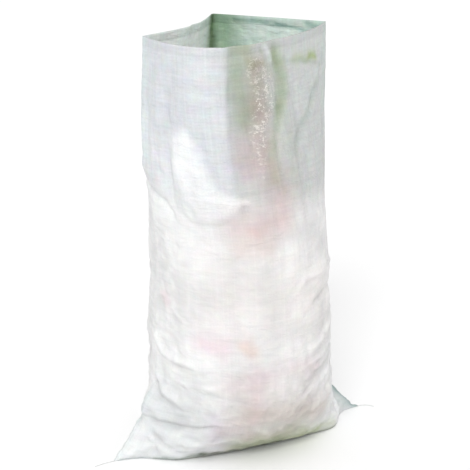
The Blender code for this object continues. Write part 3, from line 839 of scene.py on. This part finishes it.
def new_piece(name, points, faces, smooth=True):
    """A piece of the look, in the seam's frame moved to its place in the object's frame."""
    mesh = bpy.data.meshes.new(name)
    mesh.from_pydata([(x, y + SEAM_Y, z) for x, y, z in points], [], faces)
    mesh.update()
    if smooth:
        mesh.shade_smooth()
    return new_object(name, mesh)


# The cloth's simulation


def width_ease(height):
    """The cut width against the hung one: taut over the rubble, easier in the free part and at the seam."""
    return WIDTH_EASE + TAUT * fade(*TAUT_HEIGHTS, height) + SEAM_EASE * fade(*SEAM_HEIGHTS, height)


def height_ease(u, height):
    """The cut height against the hung one: most where the sack has slumped and beside its ears."""
    slump = smoothstep(*SLUMP_START, height) * fade(*SLUMP_END, height)
    side = smoothstep(*EAR_SIDES, np.abs(u))
    low = fade(*LOW_HEIGHTS, height)
    return HEIGHT_EASE + SLUMP * slump + LOW_EASE * low + EAR_EASE * side * fade(*EAR_HEIGHTS, height)


def cut_shape(grid, places):
    """The tube as it was woven and folded flat, as a thin lens of its cut size, point for point."""
    u, front = places
    rows, columns = grid.shape[:2]
    steps = np.linalg.norm(np.diff(grid, axis=0), axis=2)
    girths = np.linalg.norm(grid - np.roll(grid, 1, axis=1), axis=2).sum(axis=1)
    drop = np.zeros((rows, columns))
    drop[1:] = np.cumsum(steps * height_ease(u, grid[:-1, :, 2]), axis=0)
    left = 1 - np.arange(rows)[:, None] / (rows - 1)
    angle = np.maximum(LEAST_ANGLE, LENS_ANGLE * smoothstep(0.0, SEAM_FLAT, left))
    radius = girths[:, None] / 2 * width_ease(grid[:, :, 2]) / (2 * angle)
    deep = radius * (np.cos(angle * u) - np.cos(angle))
    return np.stack([radius * np.sin(angle * u), np.where(front, -deep, deep), -drop], axis=2)


def hang_cloth(grid, places):
    """The cloth as it starts, just outside its shape, with its cut size and how firmly each point is held."""
    rows, columns = grid.shape[:2]
    lift = np.linspace(0, 1, rows)[:, None, None]
    start = grid + outward(grid) * START_OUT * np.minimum(1, START_SLOPE * lift * (1 - lift))
    cloth = new_piece("cloth_at_work", start.reshape(-1, 3), tube_faces(rows, columns))
    cloth.shape_key_add(name="hung")
    cut = cloth.shape_key_add(name="cut")
    cut.data.foreach_set("co", cut_shape(grid, places).astype(np.float32).ravel())
    hold = cloth.vertex_groups.new(name="hold")
    for row in range(rows):
        for column in range(columns):
            height = float(grid[row, column, 2])
            free = lerp(HOLD_FILLED, HOLD_FREE, smoothstep(*HOLD_HEIGHTS, height))
            hold.add([row * columns + column], 1.0 if row in (0, rows - 1) else free, "REPLACE")
    return cloth, cut


def let_cloth_settle(whole):
    """How far each point moves as the cloth, held at the mouth and the seam, settles over the rubble."""
    fill = make_fill(FILL_INSET)
    fill.modifiers.new("collision", "COLLISION")
    fill.collision.thickness_outer = CLOTH_GAP
    fill.collision.cloth_friction = 4
    grid = whole[::SIM_STEP, ::SIM_STEP]
    cloth, cut = hang_cloth(grid, tuple(values[::SIM_STEP] for values in tube_places()))
    modifier = cloth.modifiers.new("cloth", "CLOTH")
    sim = modifier.settings
    sim.quality = 5
    sim.mass = 0.1
    sim.air_damping = 2
    sim.tension_stiffness = 40
    sim.compression_stiffness = 40
    sim.shear_stiffness = 15
    sim.bending_stiffness = 0.5
    sim.bending_damping = 0.5
    sim.vertex_group_mass = "hold"
    sim.pin_stiffness = 1
    sim.rest_shape_key = cut
    sim.effector_weights.gravity = 0.2
    modifier.collision_settings.use_collision = True
    modifier.collision_settings.distance_min = CLOTH_GAP
    modifier.collision_settings.collision_quality = 2
    modifier.point_cache.frame_end = SIM_FRAMES
    scene = bpy.context.scene
    for number in range(1, SIM_FRAMES + 1):
        scene.frame_set(number)
    settled = cloth.evaluated_get(bpy.context.evaluated_depsgraph_get()).data
    found = np.zeros(grid.size, dtype=np.float32)
    settled.vertices.foreach_get("co", found)
    found = found.reshape(grid.shape).astype(float)
    found[:, :, 1] -= SEAM_Y
    scene.frame_set(1)
    for piece in (cloth, fill):
        mesh = piece.data
        bpy.data.objects.remove(piece)
        bpy.data.meshes.remove(mesh)
    moved = found - grid
    size = np.linalg.norm(moved, axis=2, keepdims=True)
    return between(moved * np.minimum(1, MOST_MOVED / np.maximum(size, TINY)))


def between(coarse):
    """Values of every second row and column, brought to the others by a cubic through the four nearest."""
    rows, columns = coarse.shape[:2]
    wide = np.zeros((rows, 2 * columns, 3))
    wide[:, ::2] = coarse
    near = coarse + np.roll(coarse, -1, axis=1)
    far = np.roll(coarse, 1, axis=1) + np.roll(coarse, -2, axis=1)
    wide[:, 1::2] = (9 * near - far) / 16
    ends = np.concatenate([wide[:1], wide, wide[-1:]])
    fine = np.zeros((2 * rows - 1, 2 * columns, 3))
    fine[::2] = wide
    fine[1::2] = (9 * (wide[:-1] + wide[1:]) - ends[:-3] - ends[3:]) / 16
    return fine


def floor_share(grid, front):
    """How much of the settling is kept: little along the front's bottom edge, which the weight holds down."""
    low = fade(*FLOOR_EASE, grid[:, :, 2])
    middle = fade(*FLOOR_SIDES, np.abs(grid[:, :, 0]))
    return 1 - (1 - FLOOR_SHARE) * low * middle * front


def keep_clear(grid, front):
    """The cloth above the floor, with the ears' two layers apart."""
    walls = grid[:-1]
    walls[:, :, 2] = np.maximum(walls[:, :, 2], LEAST_HEIGHT)
    gap = np.where(np.arange(len(front)) % PANEL_COLUMNS == 0, 0.0, EAR_GAP)
    depth = walls[:, :, 1]
    apart = np.where(front, np.minimum(depth, -gap), np.maximum(depth, gap))
    walls[:, :, 1] = np.where(np.abs(walls[:, :, 0]) > EAR_START, apart, depth)
    return grid


def hem_rows(grid):
    """The mouth's hem, from its raw edge inside up to just under the fold."""
    normals = outward(grid)
    drop = lengths_along(grid[:HEM_SEARCH, 0])
    rows = []
    for down in np.linspace(0, HEM_DEPTH, HEM_ROWS + 1)[::-1]:
        place = float(np.interp(down, drop, np.arange(HEM_SEARCH)))
        first = int(place)
        t = place - first
        middle = lerp(grid[first], grid[first + 1], t) - lerp(normals[first], normals[first + 1], t) * HEM_GAP
        middle[:, 2] = np.minimum(middle[:, 2], grid[0, :, 2] - HEM_BELOW)
        rows.append(middle)
    return np.array(rows)


def make_cloth():
    """The whole sack as one sheet of cloth: its hem, its settled tube and its closed end."""
    grid = tube_grid()
    places = tube_places()
    heights = grid[:, :, 2].copy()
    rows, columns = heights.shape
    raised = smoothstep(*RAISED_HEIGHTS, heights)
    relief = np.array([[relief_height(Vector(point), u) for point, u in zip(row, places[0])] for row in grid])
    folds = panel_folds(FRONT_FOLDS, BACK_FOLDS, places, heights)
    grid += outward(grid) * ((relief + folds) * raised)[:, :, None]
    drop = np.zeros((rows, columns))
    drop[1:] = np.cumsum(np.linalg.norm(np.diff(grid, axis=0), axis=2), axis=0)
    grid += let_cloth_settle(grid) * floor_share(grid, places[1])[:, :, None]
    creases = panel_folds(FRONT_CREASES, BACK_CREASES, places, heights)
    grid += outward(grid) * (creases * raised)[:, :, None]
    grid = keep_clear(grid, places[1])
    hem = hem_rows(grid)
    hem_drop = -np.linspace(HEM_DEPTH, HEM_EDGE, len(hem))[:, None].repeat(columns, axis=1)
    heights = np.concatenate([hem[:, :, 2], heights])
    relief = np.concatenate([np.zeros(hem.shape[:2]), relief + creases])
    whole = np.concatenate([hem, grid])
    cloth = new_piece("sack_cloth", whole.reshape(-1, 3), tube_faces(*whole.shape[:2]))
    lay_weave(cloth, np.concatenate([hem_drop, drop]), columns)
    paint_cloth(cloth, places, heights, relief)
    return cloth


def lay_weave(cloth, drop, columns):
    """A UV map in metres along the tapes: round the tube, and down from the mouth."""
    layer = cloth.data.uv_layers.new(name="tapes")
    step = FLAT_WIDTH / PANEL_COLUMNS
    for face in cloth.data.polygons:
        wraps = max(cloth.data.loops[i].vertex_index % columns for i in face.loop_indices) == columns - 1
        for i in face.loop_indices:
            row, column = divmod(cloth.data.loops[i].vertex_index, columns)
            along = columns if wraps and column == 0 else column
            layer.data[i].uv = (along * step, float(drop[row, column]))


def paint_cloth(cloth, places, heights, relief):
    """The cloth's stains, what shows through it, its painted shade and painted highlights, with how
    see-through and how polished each point is.
    """
    u, front = places
    flat = u * FLAT_WIDTH / 2
    slices = np.where(front, DRIFT_SLICE, -DRIFT_SLICE)
    drift = np.array([
        [noise.noise_vector(Vector(place) / MARK_DRIFT_SIZE) for place in zip(flat, slices, row)]
        for row in heights
    ])
    inner = smoothstep(0.0, DRIFT_RIM, STAND_HEIGHT - heights) * smoothstep(0.0, DRIFT_FLOOR, heights)
    across = flat + MARK_DRIFT * drift[:, :, 0] * inner
    tall = heights + MARK_DRIFT * drift[:, :, 2] * inner
    highlight = np.where(front, highlight_patch(across, tall), 0.0)
    ends = np.interp(u, EMPTY_END_U, EMPTY_END)
    empty = smoothstep(ends, ends + EMPTY_FADE, tall)
    colours = np.ones((*heights.shape, 4))
    ridge = np.interp(heights, RIDGE_HEIGHTS, RIDGE_U) * FLAT_WIDTH / 2
    right = smoothstep(-RIDGE_BLUR, RIDGE_BLUR, across - ridge)
    # Painted shade in the relief's hollows and painted light on its ridges
    shade = np.clip(1 + CREASE_SHADE * relief, *SHADE_RANGE)
    # Painted shade greys the empty upper front, more right of the ridge; the patch gets a painted highlight
    for band in range(3):
        grey = lerp(1.0, lerp(EMPTY_SHADE[band], EMPTY_RIGHT_SHADE[band], right), empty * front)
        patch = lerp(PATCH_HIGHLIGHT[band], PATCH_TOP_HIGHLIGHT[band], smoothstep(*PATCH_HEIGHTS, tall))
        colours[:, :, band] = lerp(grey, patch, highlight) * shade
    for panel, tints in ((front, FRONT_TINTS), (~front, BACK_TINTS)):
        for run, colour, strength, width in tints:
            gap = line_distance(across[:, panel], tall[:, panel], line_of(run))[0]
            share = strength * bell(gap, width / TEN_THOUSAND)
            colours[:, panel, :3] *= 1 + share[:, :, None] * (np.array(colour) / THOUSAND - 1)
    layer = cloth.data.color_attributes.new("tint", "FLOAT_COLOR", "POINT")
    layer.data.foreach_set("color", colours.astype(np.float32).ravel())
    gap, where = line_distance(across, tall, POLISHED)
    steps = np.linspace(0, 1, len(POLISH_WIDTHS))
    edge = fade(*POLISH_EDGE, gap / np.interp(where, steps, POLISH_WIDTHS))
    strip = np.interp(where, steps, POLISH_SHARES) * edge
    shine = np.where(front, np.maximum(strip, PATCH_POLISH * highlight), 0.0)
    for name, values in (("sheer", empty * (1 - highlight)), ("polish_and_glints", shine)):
        layer = cloth.data.attributes.new(name, "FLOAT", "POINT")
        layer.data.foreach_set("value", values.astype(np.float32).ravel())


def highlight_patch(across, heights):
    """1 inside the patch of painted highlight, whose width changes along its line, and 0 outside."""
    gap, where = line_distance(across, heights, HIGHLIGHT_PATCH)
    width = np.interp(where * (len(PATCH_WIDTHS) - 1), range(len(PATCH_WIDTHS)), PATCH_WIDTHS)
    return fade(*PATCH_EDGE, gap / width) * smoothstep(*PATCH_START, where)


# The thread: a flat braid, along the seam and out at both ends


def tail_points(start_x, length, drift):
    """A loose thread end that lies on the floor and drifts forward, away from the seam's line."""
    outside = math.copysign(1, start_x)
    step = length / TAIL_STEPS
    x, y = start_x, 0.0
    points = [Vector((x, y, THREAD_HEIGHT))]
    for i in range(TAIL_STEPS):
        heading = drift * smoothstep(0.0, 1.0, (i + 0.5) / TAIL_STEPS)
        x += outside * step * math.cos(heading)
        y -= step * math.sin(heading)
        points.append(Vector((x, y, THREAD_HEIGHT)))
    return points


def make_braid(name, points, frayed):
    """Strands that cross over each other along a line of points."""
    line = np.array(points)
    length = lengths_along(line)[-1]
    count = max(LEAST_STEPS, int(length / THREAD_PITCH * PITCH_STEPS))
    middles = even_steps(line, count - 1)
    runs = np.gradient(middles, axis=0)
    runs /= np.linalg.norm(runs, axis=1)[:, None]
    sides = np.cross(runs, (0, 0, 1))
    vertices, faces = [], []
    for strand in range(STRANDS):
        first = len(vertices)
        phase = strand * 2 * math.pi / STRANDS
        for i, place in enumerate(np.linspace(0, length, count)):
            turn = 2 * math.pi * place / THREAD_PITCH + phase
            side = Vector(sides[i])
            spread = 1 + frayed * smoothstep(FRAY_START, 1.0, place / length)
            radius = STRAND_RADIUS * (1 - 0.5 * frayed * smoothstep(THIN_START, 1.0, place / length))
            middle = Vector(middles[i]) + side * (STRAND_SWING * spread * math.sin(turn))
            middle.z += STRAND_RISE * math.sin(2 * turn)
            for corner in range(STRAND_SIDES):
                angle = corner * 2 * math.pi / STRAND_SIDES
                offset = side * (radius * math.cos(angle)) + Vector((0, 0, radius * math.sin(angle)))
                vertices.append(middle + offset)
        faces += ring_faces(count, STRAND_SIDES, first)
        faces.append(tuple(range(first + STRAND_SIDES - 1, first - 1, -1)))
        faces.append(tuple(range(len(vertices) - STRAND_SIDES, len(vertices))))
    return new_piece(name, vertices, faces)


def make_tail(name, start_x, length, drift):
    points = tail_points(start_x, length, drift)
    tail = make_braid(name, points, 1.0)
    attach(tail, BODY)
    return tail


# The loose pieces of brick and concrete


def make_chunk(node, seed):
    """A broken piece with the solid's shape, and a rough broken surface cut into it."""
    chunk = new_object(f"{node}_rough", bpy.data.objects[node].data.copy())
    remesh = chunk.modifiers.new("even", "REMESH")
    remesh.mode = "VOXEL"
    remesh.voxel_size = CHUNK_GRID
    mesh = bpy.data.meshes.new_from_object(chunk.evaluated_get(bpy.context.evaluated_depsgraph_get()))
    chunk.modifiers.clear()
    chunk.data = mesh
    shift = Vector((seed * SEED_SHIFT[0], seed * SEED_SHIFT[1], 0))
    normals = [vertex.normal.copy() for vertex in mesh.vertices]
    for vertex, normal, worn in zip(mesh.vertices, normals, worn_points(mesh)):
        place = vertex.co.copy()
        share = lerp(LEAST_WEAR, 1.0, smoothstep(*WEAR_RANGE, noise.noise(place * WEAR_FINENESS + shift)))
        vertex.co = place.lerp(Vector(worn), share) - normal * broken_depth(place, shift)
    mesh.shade_smooth()
    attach(chunk, BODY)
    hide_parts(node)
    return chunk


def worn_points(mesh):
    """The mesh's points after smoothing, which moves its edges and corners and leaves its faces."""
    points = np.array([vertex.co for vertex in mesh.vertices])
    ends = np.array([edge.vertices[:] for edge in mesh.edges])
    count = np.bincount(ends.ravel(), minlength=len(points))[:, None]
    for _ in range(WORN_ROUNDS):
        total = np.zeros_like(points)
        np.add.at(total, ends[:, 0], points[ends[:, 1]])
        np.add.at(total, ends[:, 1], points[ends[:, 0]])
        points = lerp(points, total / count, 0.5)
    return points


def broken_depth(place, shift):
    """How much is broken off a solid at a place: tilted facets, dents and grain."""
    spot = place / FACET_SIZE + shift
    middle = noise.voronoi(spot)[1][0]
    facet = FACET_SIZE * FACET_SLOPE * (spot - middle).dot(noise.noise_vector(middle * FACET_TURN))
    dent = 0.5 + 0.5 * noise.noise(place * DENT_FINENESS + shift)
    grain = abs(noise.fractal(place * GRAIN_FINENESS + shift, *GRAIN_NOISE))
    return max(LEAST_CUT, MIDDLE_CUT + facet + DENT_DEPTH * dent + GRAIN_DEPTH * grain)


def tops_of(chunks):
    """The loose pieces as one body that can be felt for from above."""
    vertices, faces = [], []
    for chunk in chunks:
        first = len(vertices)
        vertices += [vertex.co.copy() for vertex in chunk.data.vertices]
        faces += [[first + i for i in face.vertices] for face in chunk.data.polygons]
    return BVHTree.FromPolygons(vertices, faces)


def make_pebbles(chunks):
    """Small broken bits lying on the dust between the loose pieces, and a few on the pieces."""
    rng = random.Random(PEBBLE_SEED)
    tops = tops_of(chunks)
    vertices, faces = [], []
    outline = np.array(fill_ring(FILL_TOP, FILL_HIDDEN_INSET))
    middle = outline.mean(axis=0)
    for _ in range(PEBBLE_TRIES):
        edge = outline[rng.randrange(len(outline))]
        x, y, _ = middle + (edge - middle) * PEBBLE_REACH * math.sqrt(rng.random())
        size = LEAST_PEBBLE + PEBBLE_SPREAD * rng.random() ** PEBBLE_POWER
        turn = Vector([rng.uniform(-PEBBLE_TURN, PEBBLE_TURN) for _ in range(3)])
        stays = rng.random() < STAYING_SHARE
        place = Vector((x, y, heap_height(x, y)))
        top, slope, _, _ = tops.ray_cast(Vector((x, y, STAND_HEIGHT)), Vector((0, 0, -1)))
        if top is not None and top.z > place.z:
            if slope.z < STAYING_SLOPE or not stays:
                continue
            place = top
            size *= STAYING_SIZE
        place.z += PEBBLE_LIFT * size
        first = len(vertices)
        for corner in PEBBLE_CORNERS:
            shaped = Vector(corner) * size * rng.uniform(*PEBBLE_SHAPE)
            shaped.rotate(Vector((1, 0, 0)).rotation_difference(turn))
            vertices.append(place + shaped)
        faces += [tuple(first + i for i in side) for side in PEBBLE_SIDES]
    return new_piece("rubble_chips", vertices, faces, smooth=False)


# Materials


class Value:
    """What an output of a node gives. Each step of arithmetic with it adds one node."""

    def __init__(self, tree, socket):
        self.tree = tree
        self.socket = socket

    def output(self, name):
        """Another output of the same node."""
        return Value(self.tree, self.socket.node.outputs[name])

    def step(self, operation, second=0.0):
        return self.tree.step(operation, self, second)

    def __add__(self, second):
        return self.step("ADD", second)

    def __sub__(self, second):
        return self.step("SUBTRACT", second)

    def __rsub__(self, first):
        return self.tree.step("SUBTRACT", first, self)

    def __mul__(self, second):
        return self.step("MULTIPLY", second)

    def __truediv__(self, second):
        return self.step("DIVIDE", second)


class Tree:
    """A material's nodes. It starts with the shader, whose inputs are named with _ for each space."""

    def __init__(self, name, **values):
        self.material = bpy.data.materials.new(name)
        self.material.use_nodes = True
        self.nodes = self.material.node_tree.nodes
        self.shader = self.nodes["Principled BSDF"]
        self.put(self.shader, {key.replace("_", " "): value for key, value in values.items()})

    def put(self, node, values):
        """Sets a node's inputs to values, or links them to what other nodes give."""
        for key, value in values.items():
            if isinstance(value, Value):
                self.material.node_tree.links.new(value.socket, node.inputs[key])
            else:
                node.inputs[key].default_value = value

    def add(self, kind, values, output=0, **settings):
        node = self.nodes.new(f"ShaderNode{kind}")
        for name, value in settings.items():
            setattr(node, name, value)
        self.put(node, values)
        return Value(self, node.outputs[output])

    def step(self, operation, first, second):
        return self.add("Math", {0: first, 1: second}, operation=operation)

    def blend(self, factor, first, second, kind="MIX"):
        return self.add("Mix", {0: factor, 6: first, 7: second}, 2, data_type="RGBA", blend_type=kind)

    def mapped(self, value, low, high, to_low=0.0, to_high=1.0):
        """A range brought to another."""
        values = {"Value": value, "From Min": low, "From Max": high, "To Min": to_low, "To Max": to_high}
        return self.add("MapRange", values)

    def noise(self, place, scale, detail, roughness=0.5, distortion=0.0, **settings):
        values = {"Scale": scale, "Detail": detail, "Roughness": roughness, "Distortion": distortion}
        return self.add("TexNoise", {"Vector": place, **values}, **settings)

    def ramp(self, factor, stops):
        """A colour ramp, given as places and colours."""
        colour = self.add("ValToRGB", {"Fac": factor})
        elements = colour.socket.node.color_ramp.elements
        while len(elements) < len(stops):
            elements.new(0.5)
        for element, (place, stop) in zip(elements, stops):
            element.position = place
            element.color = (*stop, 1)
        return colour

    def finish(self, colour, height, strength, distance):
        """The material, with a colour and a relief on its shader."""
        bump = self.add("Bump", {"Height": height, "Strength": strength, "Distance": distance})
        self.put(self.shader, {"Base Color": colour, "Normal": bump})
        return self.material


def cloth_material():
    """White woven tape: flat tapes over and under each other, each a little different, lightly crinkled."""
    looks = {"Roughness": 0.42, "Specular_IOR_Level": 0.45, "Sheen_Weight": 0.12, "Sheen_Roughness": 0.45}
    tree = Tree("woven_tape", **looks)
    place = tree.add("UVMap", {}, uv_map="tapes")

    def grain(across, down, *looks):
        """Noise with its own scale across and down the tapes."""
        return tree.noise(tree.add("Mapping", {"Vector": place, "Scale": (across, down, 1)}), 1.0, *looks)

    split = tree.add("SeparateXYZ", {0: place})
    across = split / TAPE_WIDTH
    down = split.output(1) / TAPE_WIDTH
    warp = across.step("FLOOR")
    weft = down.step("FLOOR")
    warp_height = tape_height(across, down, warp, 0.5)
    weft_height = tape_height(down, across, weft, -0.5)
    weave = warp_height.step("MAXIMUM", weft_height)
    warp_tone = tree.add("TexWhiteNoise", {"W": warp}, noise_dimensions="1D")
    weft_tone = tree.add("TexWhiteNoise", {"W": weft + WEFT_SEED}, noise_dimensions="1D")
    over = warp_height.step("GREATER_THAN", weft_height)
    tone = over * warp_tone + (1.0 - over) * weft_tone
    sheer = tree.add("Attribute", {}, "Fac", attribute_name="sheer")
    polish_and_glints = tree.add("Attribute", {}, "Fac", attribute_name="polish_and_glints")
    creases = grain(14, 34, 5.0, 0.55, 0.6)
    crinkle = grain(62, 120, 3.0, 0.55, 0.4)
    upright = grain(170, 15, 2.0)
    level = grain(15, 170, 2.0)
    crossing = tree.add("Mapping", {"Vector": place, "Rotation": (0, 0, 0.7), "Scale": (20, 26, 1)})
    ridges = tree.noise(crossing, 1.0, 3.0, noise_type="RIDGED_MULTIFRACTAL")

    white = tree.ramp(tone, TAPE_COLOURS)
    # Painted shade: darker where the crease noise, which also gives the bump its relief, is low
    shaded = tree.blend(1.0, white, tree.ramp(creases, CRINKLE_SHADE_COLOURS), "MULTIPLY")
    streaks = (upright + level - 1.0) * (sheer * 0.14 + 0.06) + 1.0
    streaks = tree.add("CombineXYZ", {0: streaks, 1: streaks, 2: streaks})
    shaded = tree.blend(1.0, shaded, streaks, "MULTIPLY")
    mottled = tree.blend(sheer * 0.1 + 0.1, GREY, grain(52, 60, 3.0, 0.6).output("Color"))
    shaded = tree.blend(1.0, shaded, tree.blend(1.0, mottled, GREY, "ADD"), "MULTIPLY")
    gaps = tree.add("Clamp", {"Value": (0.4 - weave) * (sheer * 0.25 + 0.32)})
    shaded = tree.blend(gaps, shaded, GAP_COLOUR)
    colour = tree.blend(1.0, shaded, tree.add("VertexColor", {}, layer_name="tint"), "MULTIPLY")

    crossings = tree.add("CombineXYZ", {0: warp, 1: weft})
    glint = tree.add("TexWhiteNoise", {"Vector": crossings}, noise_dimensions="2D")
    # Painted glints: bright flecks blended into the colour where the cloth is polished
    glint_flecks = grain(120, 330, 4.0, 0.75, 0.8) * 0.6 + grain(90, 62, 3.0, 0.6, 0.5) * 0.4
    highlight = tree.mapped(glint_flecks, 0.5, 0.57) * tree.mapped(glint, 0.3, 0.6, 0.2)
    colour = tree.blend(highlight * (polish_and_glints * 0.72), colour, GLINT_COLOUR)
    rough = tree.mapped(glint, 0.0, 1.0, 0.33, 0.56) - polish_and_glints * 0.14

    crumple = creases + ridges * 0.35 + crinkle * (sheer * 0.22 + 0.2)
    pressed = polish_and_glints * (1.0 - sheer)
    crumple = crumple + grain(24, 130, 2.0, 0.5, 0.9) * (pressed * 1.6) + glint_flecks * (polish_and_glints * 0.3)
    bumped = tree.add("Bump", {"Height": crumple, "Strength": 0.8, "Distance": 0.0055})
    woven = tree.add("Bump", {"Height": weave, "Strength": 0.45, "Distance": 0.00035, "Normal": bumped})
    tree.put(tree.shader, {"Base Color": colour, "Roughness": rough, "Normal": woven})
    through = tree.add("BsdfTranslucent", {"Color": colour, "Normal": woven})
    mixed = tree.add("MixShader", {0: 0.2, 1: Value(tree, tree.shader.outputs[0]), 2: through})
    tree.put(tree.nodes["Material Output"], {"Surface": mixed})
    return tree.material


def tape_height(across, along, number, sign):
    """One set of tapes' height: flat topped across, rising and dipping along, each opposite to the next."""
    edge = ((across.step("FRACT") - 0.5) * 2.0).step("ABSOLUTE").step("POWER", 4.0)
    wave = ((along + number) * math.pi).step("SINE") * sign
    return (1.0 - edge) * (wave + 0.5)


def stone_material(name, colours, grits, dust, grain, pores):
    """Broken brick or concrete: patches of colour, grits, grains, pores and pale dust on the upper faces."""
    tree = Tree(name, Roughness=0.9, Specular_IOR_Level=0.25)
    place = tree.add("TexCoord", {}, "Object")
    broad = tree.noise(place, 16.0, 6.0, 0.6)
    fine = tree.noise(place, grain, 4.0, 0.7)
    cells = tree.add("TexVoronoi", {"Vector": place, "Scale": pores})
    base = tree.ramp(broad * 0.62 + fine * 0.38, colours)
    # Painted shade in the pores, where the bump sinks
    base = tree.blend(0.6, base, tree.ramp(cells, PORE_SHADE_COLOURS), "MULTIPLY")
    stones = tree.add("TexVoronoi", {"Vector": place, "Scale": pores * 0.9})
    kind = tree.add("SeparateColor", {0: stones.output("Color")})
    shown = tree.mapped(stones, 0.48, 0.36) * kind.step("GREATER_THAN", 0.45)
    base = tree.blend(shown * 0.6, base, tree.ramp(kind, grits))
    up = tree.add("SeparateXYZ", {0: tree.add("NewGeometry", {}, "Normal")}, 2)
    drifts = tree.mapped(tree.noise(place, 42.0, 5.0, 0.65), 0.42, 0.62)
    base = tree.blend(tree.mapped(up, 0.1, 1.0) * drifts * 0.62, base, dust)
    return tree.finish(base, fine + cells * 0.6, 0.7, 0.0012)


def dust_material():
    """Packed fines: brick red, grey and sandy grains in pale dust."""
    tree = Tree("packed_dust", Roughness=0.95, Specular_IOR_Level=0.2)
    place = tree.add("TexCoord", {}, "Object")
    grains = tree.add("TexVoronoi", {"Vector": place, "Scale": 260.0})
    patches = tree.noise(place, 22.0, 5.0)
    mixed = tree.ramp(tree.add("SeparateColor", {0: grains.output("Color")}), FINES_COLOURS)
    return tree.finish(tree.blend(patches, mixed, FINES_DUST), grains + patches, 0.8, 0.0015)


def thread_material():
    """White spun thread, a little grubby, with its twist."""
    tree = Tree("spun_thread", Roughness=0.75, Sheen_Weight=0.2)
    place = tree.add("TexCoord", {}, "Object")
    waves = {"Vector": place, "Scale": 900.0, "Distortion": 2.0}
    twist = tree.add("TexWave", waves, "Fac", bands_direction="DIAGONAL")
    return tree.finish(tree.ramp(tree.noise(place, 140.0, 3.0), THREAD_COLOURS), twist, 0.4, 0.0002)


def wear(piece, material):
    piece.data.materials.clear()
    piece.data.materials.append(material)


# The stage


def make_camera():
    camera = new_object("camera", bpy.data.cameras.new("camera"))
    camera.data.sensor_width = SENSOR
    camera.data.lens = FOCAL_PIXELS / FRAME_PIXELS * SENSOR
    camera.location = (
        -math.sin(CAMERA_AZIMUTH) * CAMERA_DISTANCE,
        -math.cos(CAMERA_AZIMUTH) * CAMERA_DISTANCE + SEAM_Y,
        CAMERA_HEIGHT,
    )
    heading = CAMERA_AZIMUTH + CAMERA_YAW
    level = math.cos(CAMERA_PITCH)
    looks = Vector((math.sin(heading) * level, math.cos(heading) * level, -math.sin(CAMERA_PITCH)))
    camera.rotation_euler = looks.to_track_quat("-Z", "Y").to_euler()
    bpy.context.scene.camera = camera


def make_stage():
    """A pale floor, a bright even room and one soft light from the upper left."""
    floor = new_object("floor", bpy.data.meshes.new("floor"))
    corners = [(x * FLOOR_EDGE, y * FLOOR_EDGE, 0) for x, y in ((-1, -1), (1, -1), (1, 1), (-1, 1))]
    floor.data.from_pydata(corners, [], [(0, 1, 2, 3)])
    pale = Tree("pale_floor", Roughness=0.9, Base_Color=FLOOR_COLOUR, Specular_IOR_Level=0.1)
    wear(floor, pale.material)
    world = bpy.data.worlds.new("room")
    bpy.context.scene.world = world
    world.use_nodes = True
    room = world.node_tree.nodes["Background"].inputs
    room["Color"].default_value = ROOM_COLOUR
    room["Strength"].default_value = WORLD_LIGHT
    key = new_object("key", bpy.data.lights.new("key", "SUN"))
    key.data.angle = KEY_SOFTNESS
    key.data.energy = KEY_LIGHT
    key.rotation_euler = Vector(KEY_HEADING).to_track_quat("-Z", "Y").to_euler()
    bpy.context.scene.view_settings.view_transform = "Standard"


def main():
    noise.seed_set(NOISE_SEED)
    make_camera()
    make_stage()
    thread = thread_material()
    for name, side, length, drift in TAILS:
        tail = make_tail(name, side * (STITCH_REACH + TAIL_GAP), length, drift)
        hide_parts(f"thread_{name}")
        wear(tail, thread)
    ends = [Vector((side * STITCH_REACH, 0, THREAD_HEIGHT)) for side in (-1, 1)]
    stitches = make_braid("seam_stitches", ends, 0.0)
    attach(stitches, BODY)
    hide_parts("bottom_stitching")
    wear(stitches, thread)

    cloth = make_cloth()
    wear(cloth, cloth_material())
    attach(cloth, BODY)
    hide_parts("sack_body")

    dust = dust_material()
    fill = make_fill(FILL_HIDDEN_INSET)
    wear(fill, dust)
    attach(fill, BODY)
    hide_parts("rubble_core")
    finishes = {
        "brick": stone_material("brick", BRICK_COLOURS, BRICK_GRITS, BRICK_DUST, 95.0, 150.0),
        "concrete": stone_material("concrete", CONCRETE_COLOURS, CONCRETE_GRITS, CONCRETE_DUST, 120.0, 90.0),
    }
    nodes = sorted(name for name in frame["nodes"] if "_piece_" in name)
    chunks = []
    for seed, node in enumerate(nodes):
        kind = node.split("_")[0]
        chunk = make_chunk(node, seed)
        wear(chunk, finishes[kind])
        chunks.append(chunk)
    chips = make_pebbles(chunks)
    wear(chips, dust)
    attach(chips, BODY)


main()
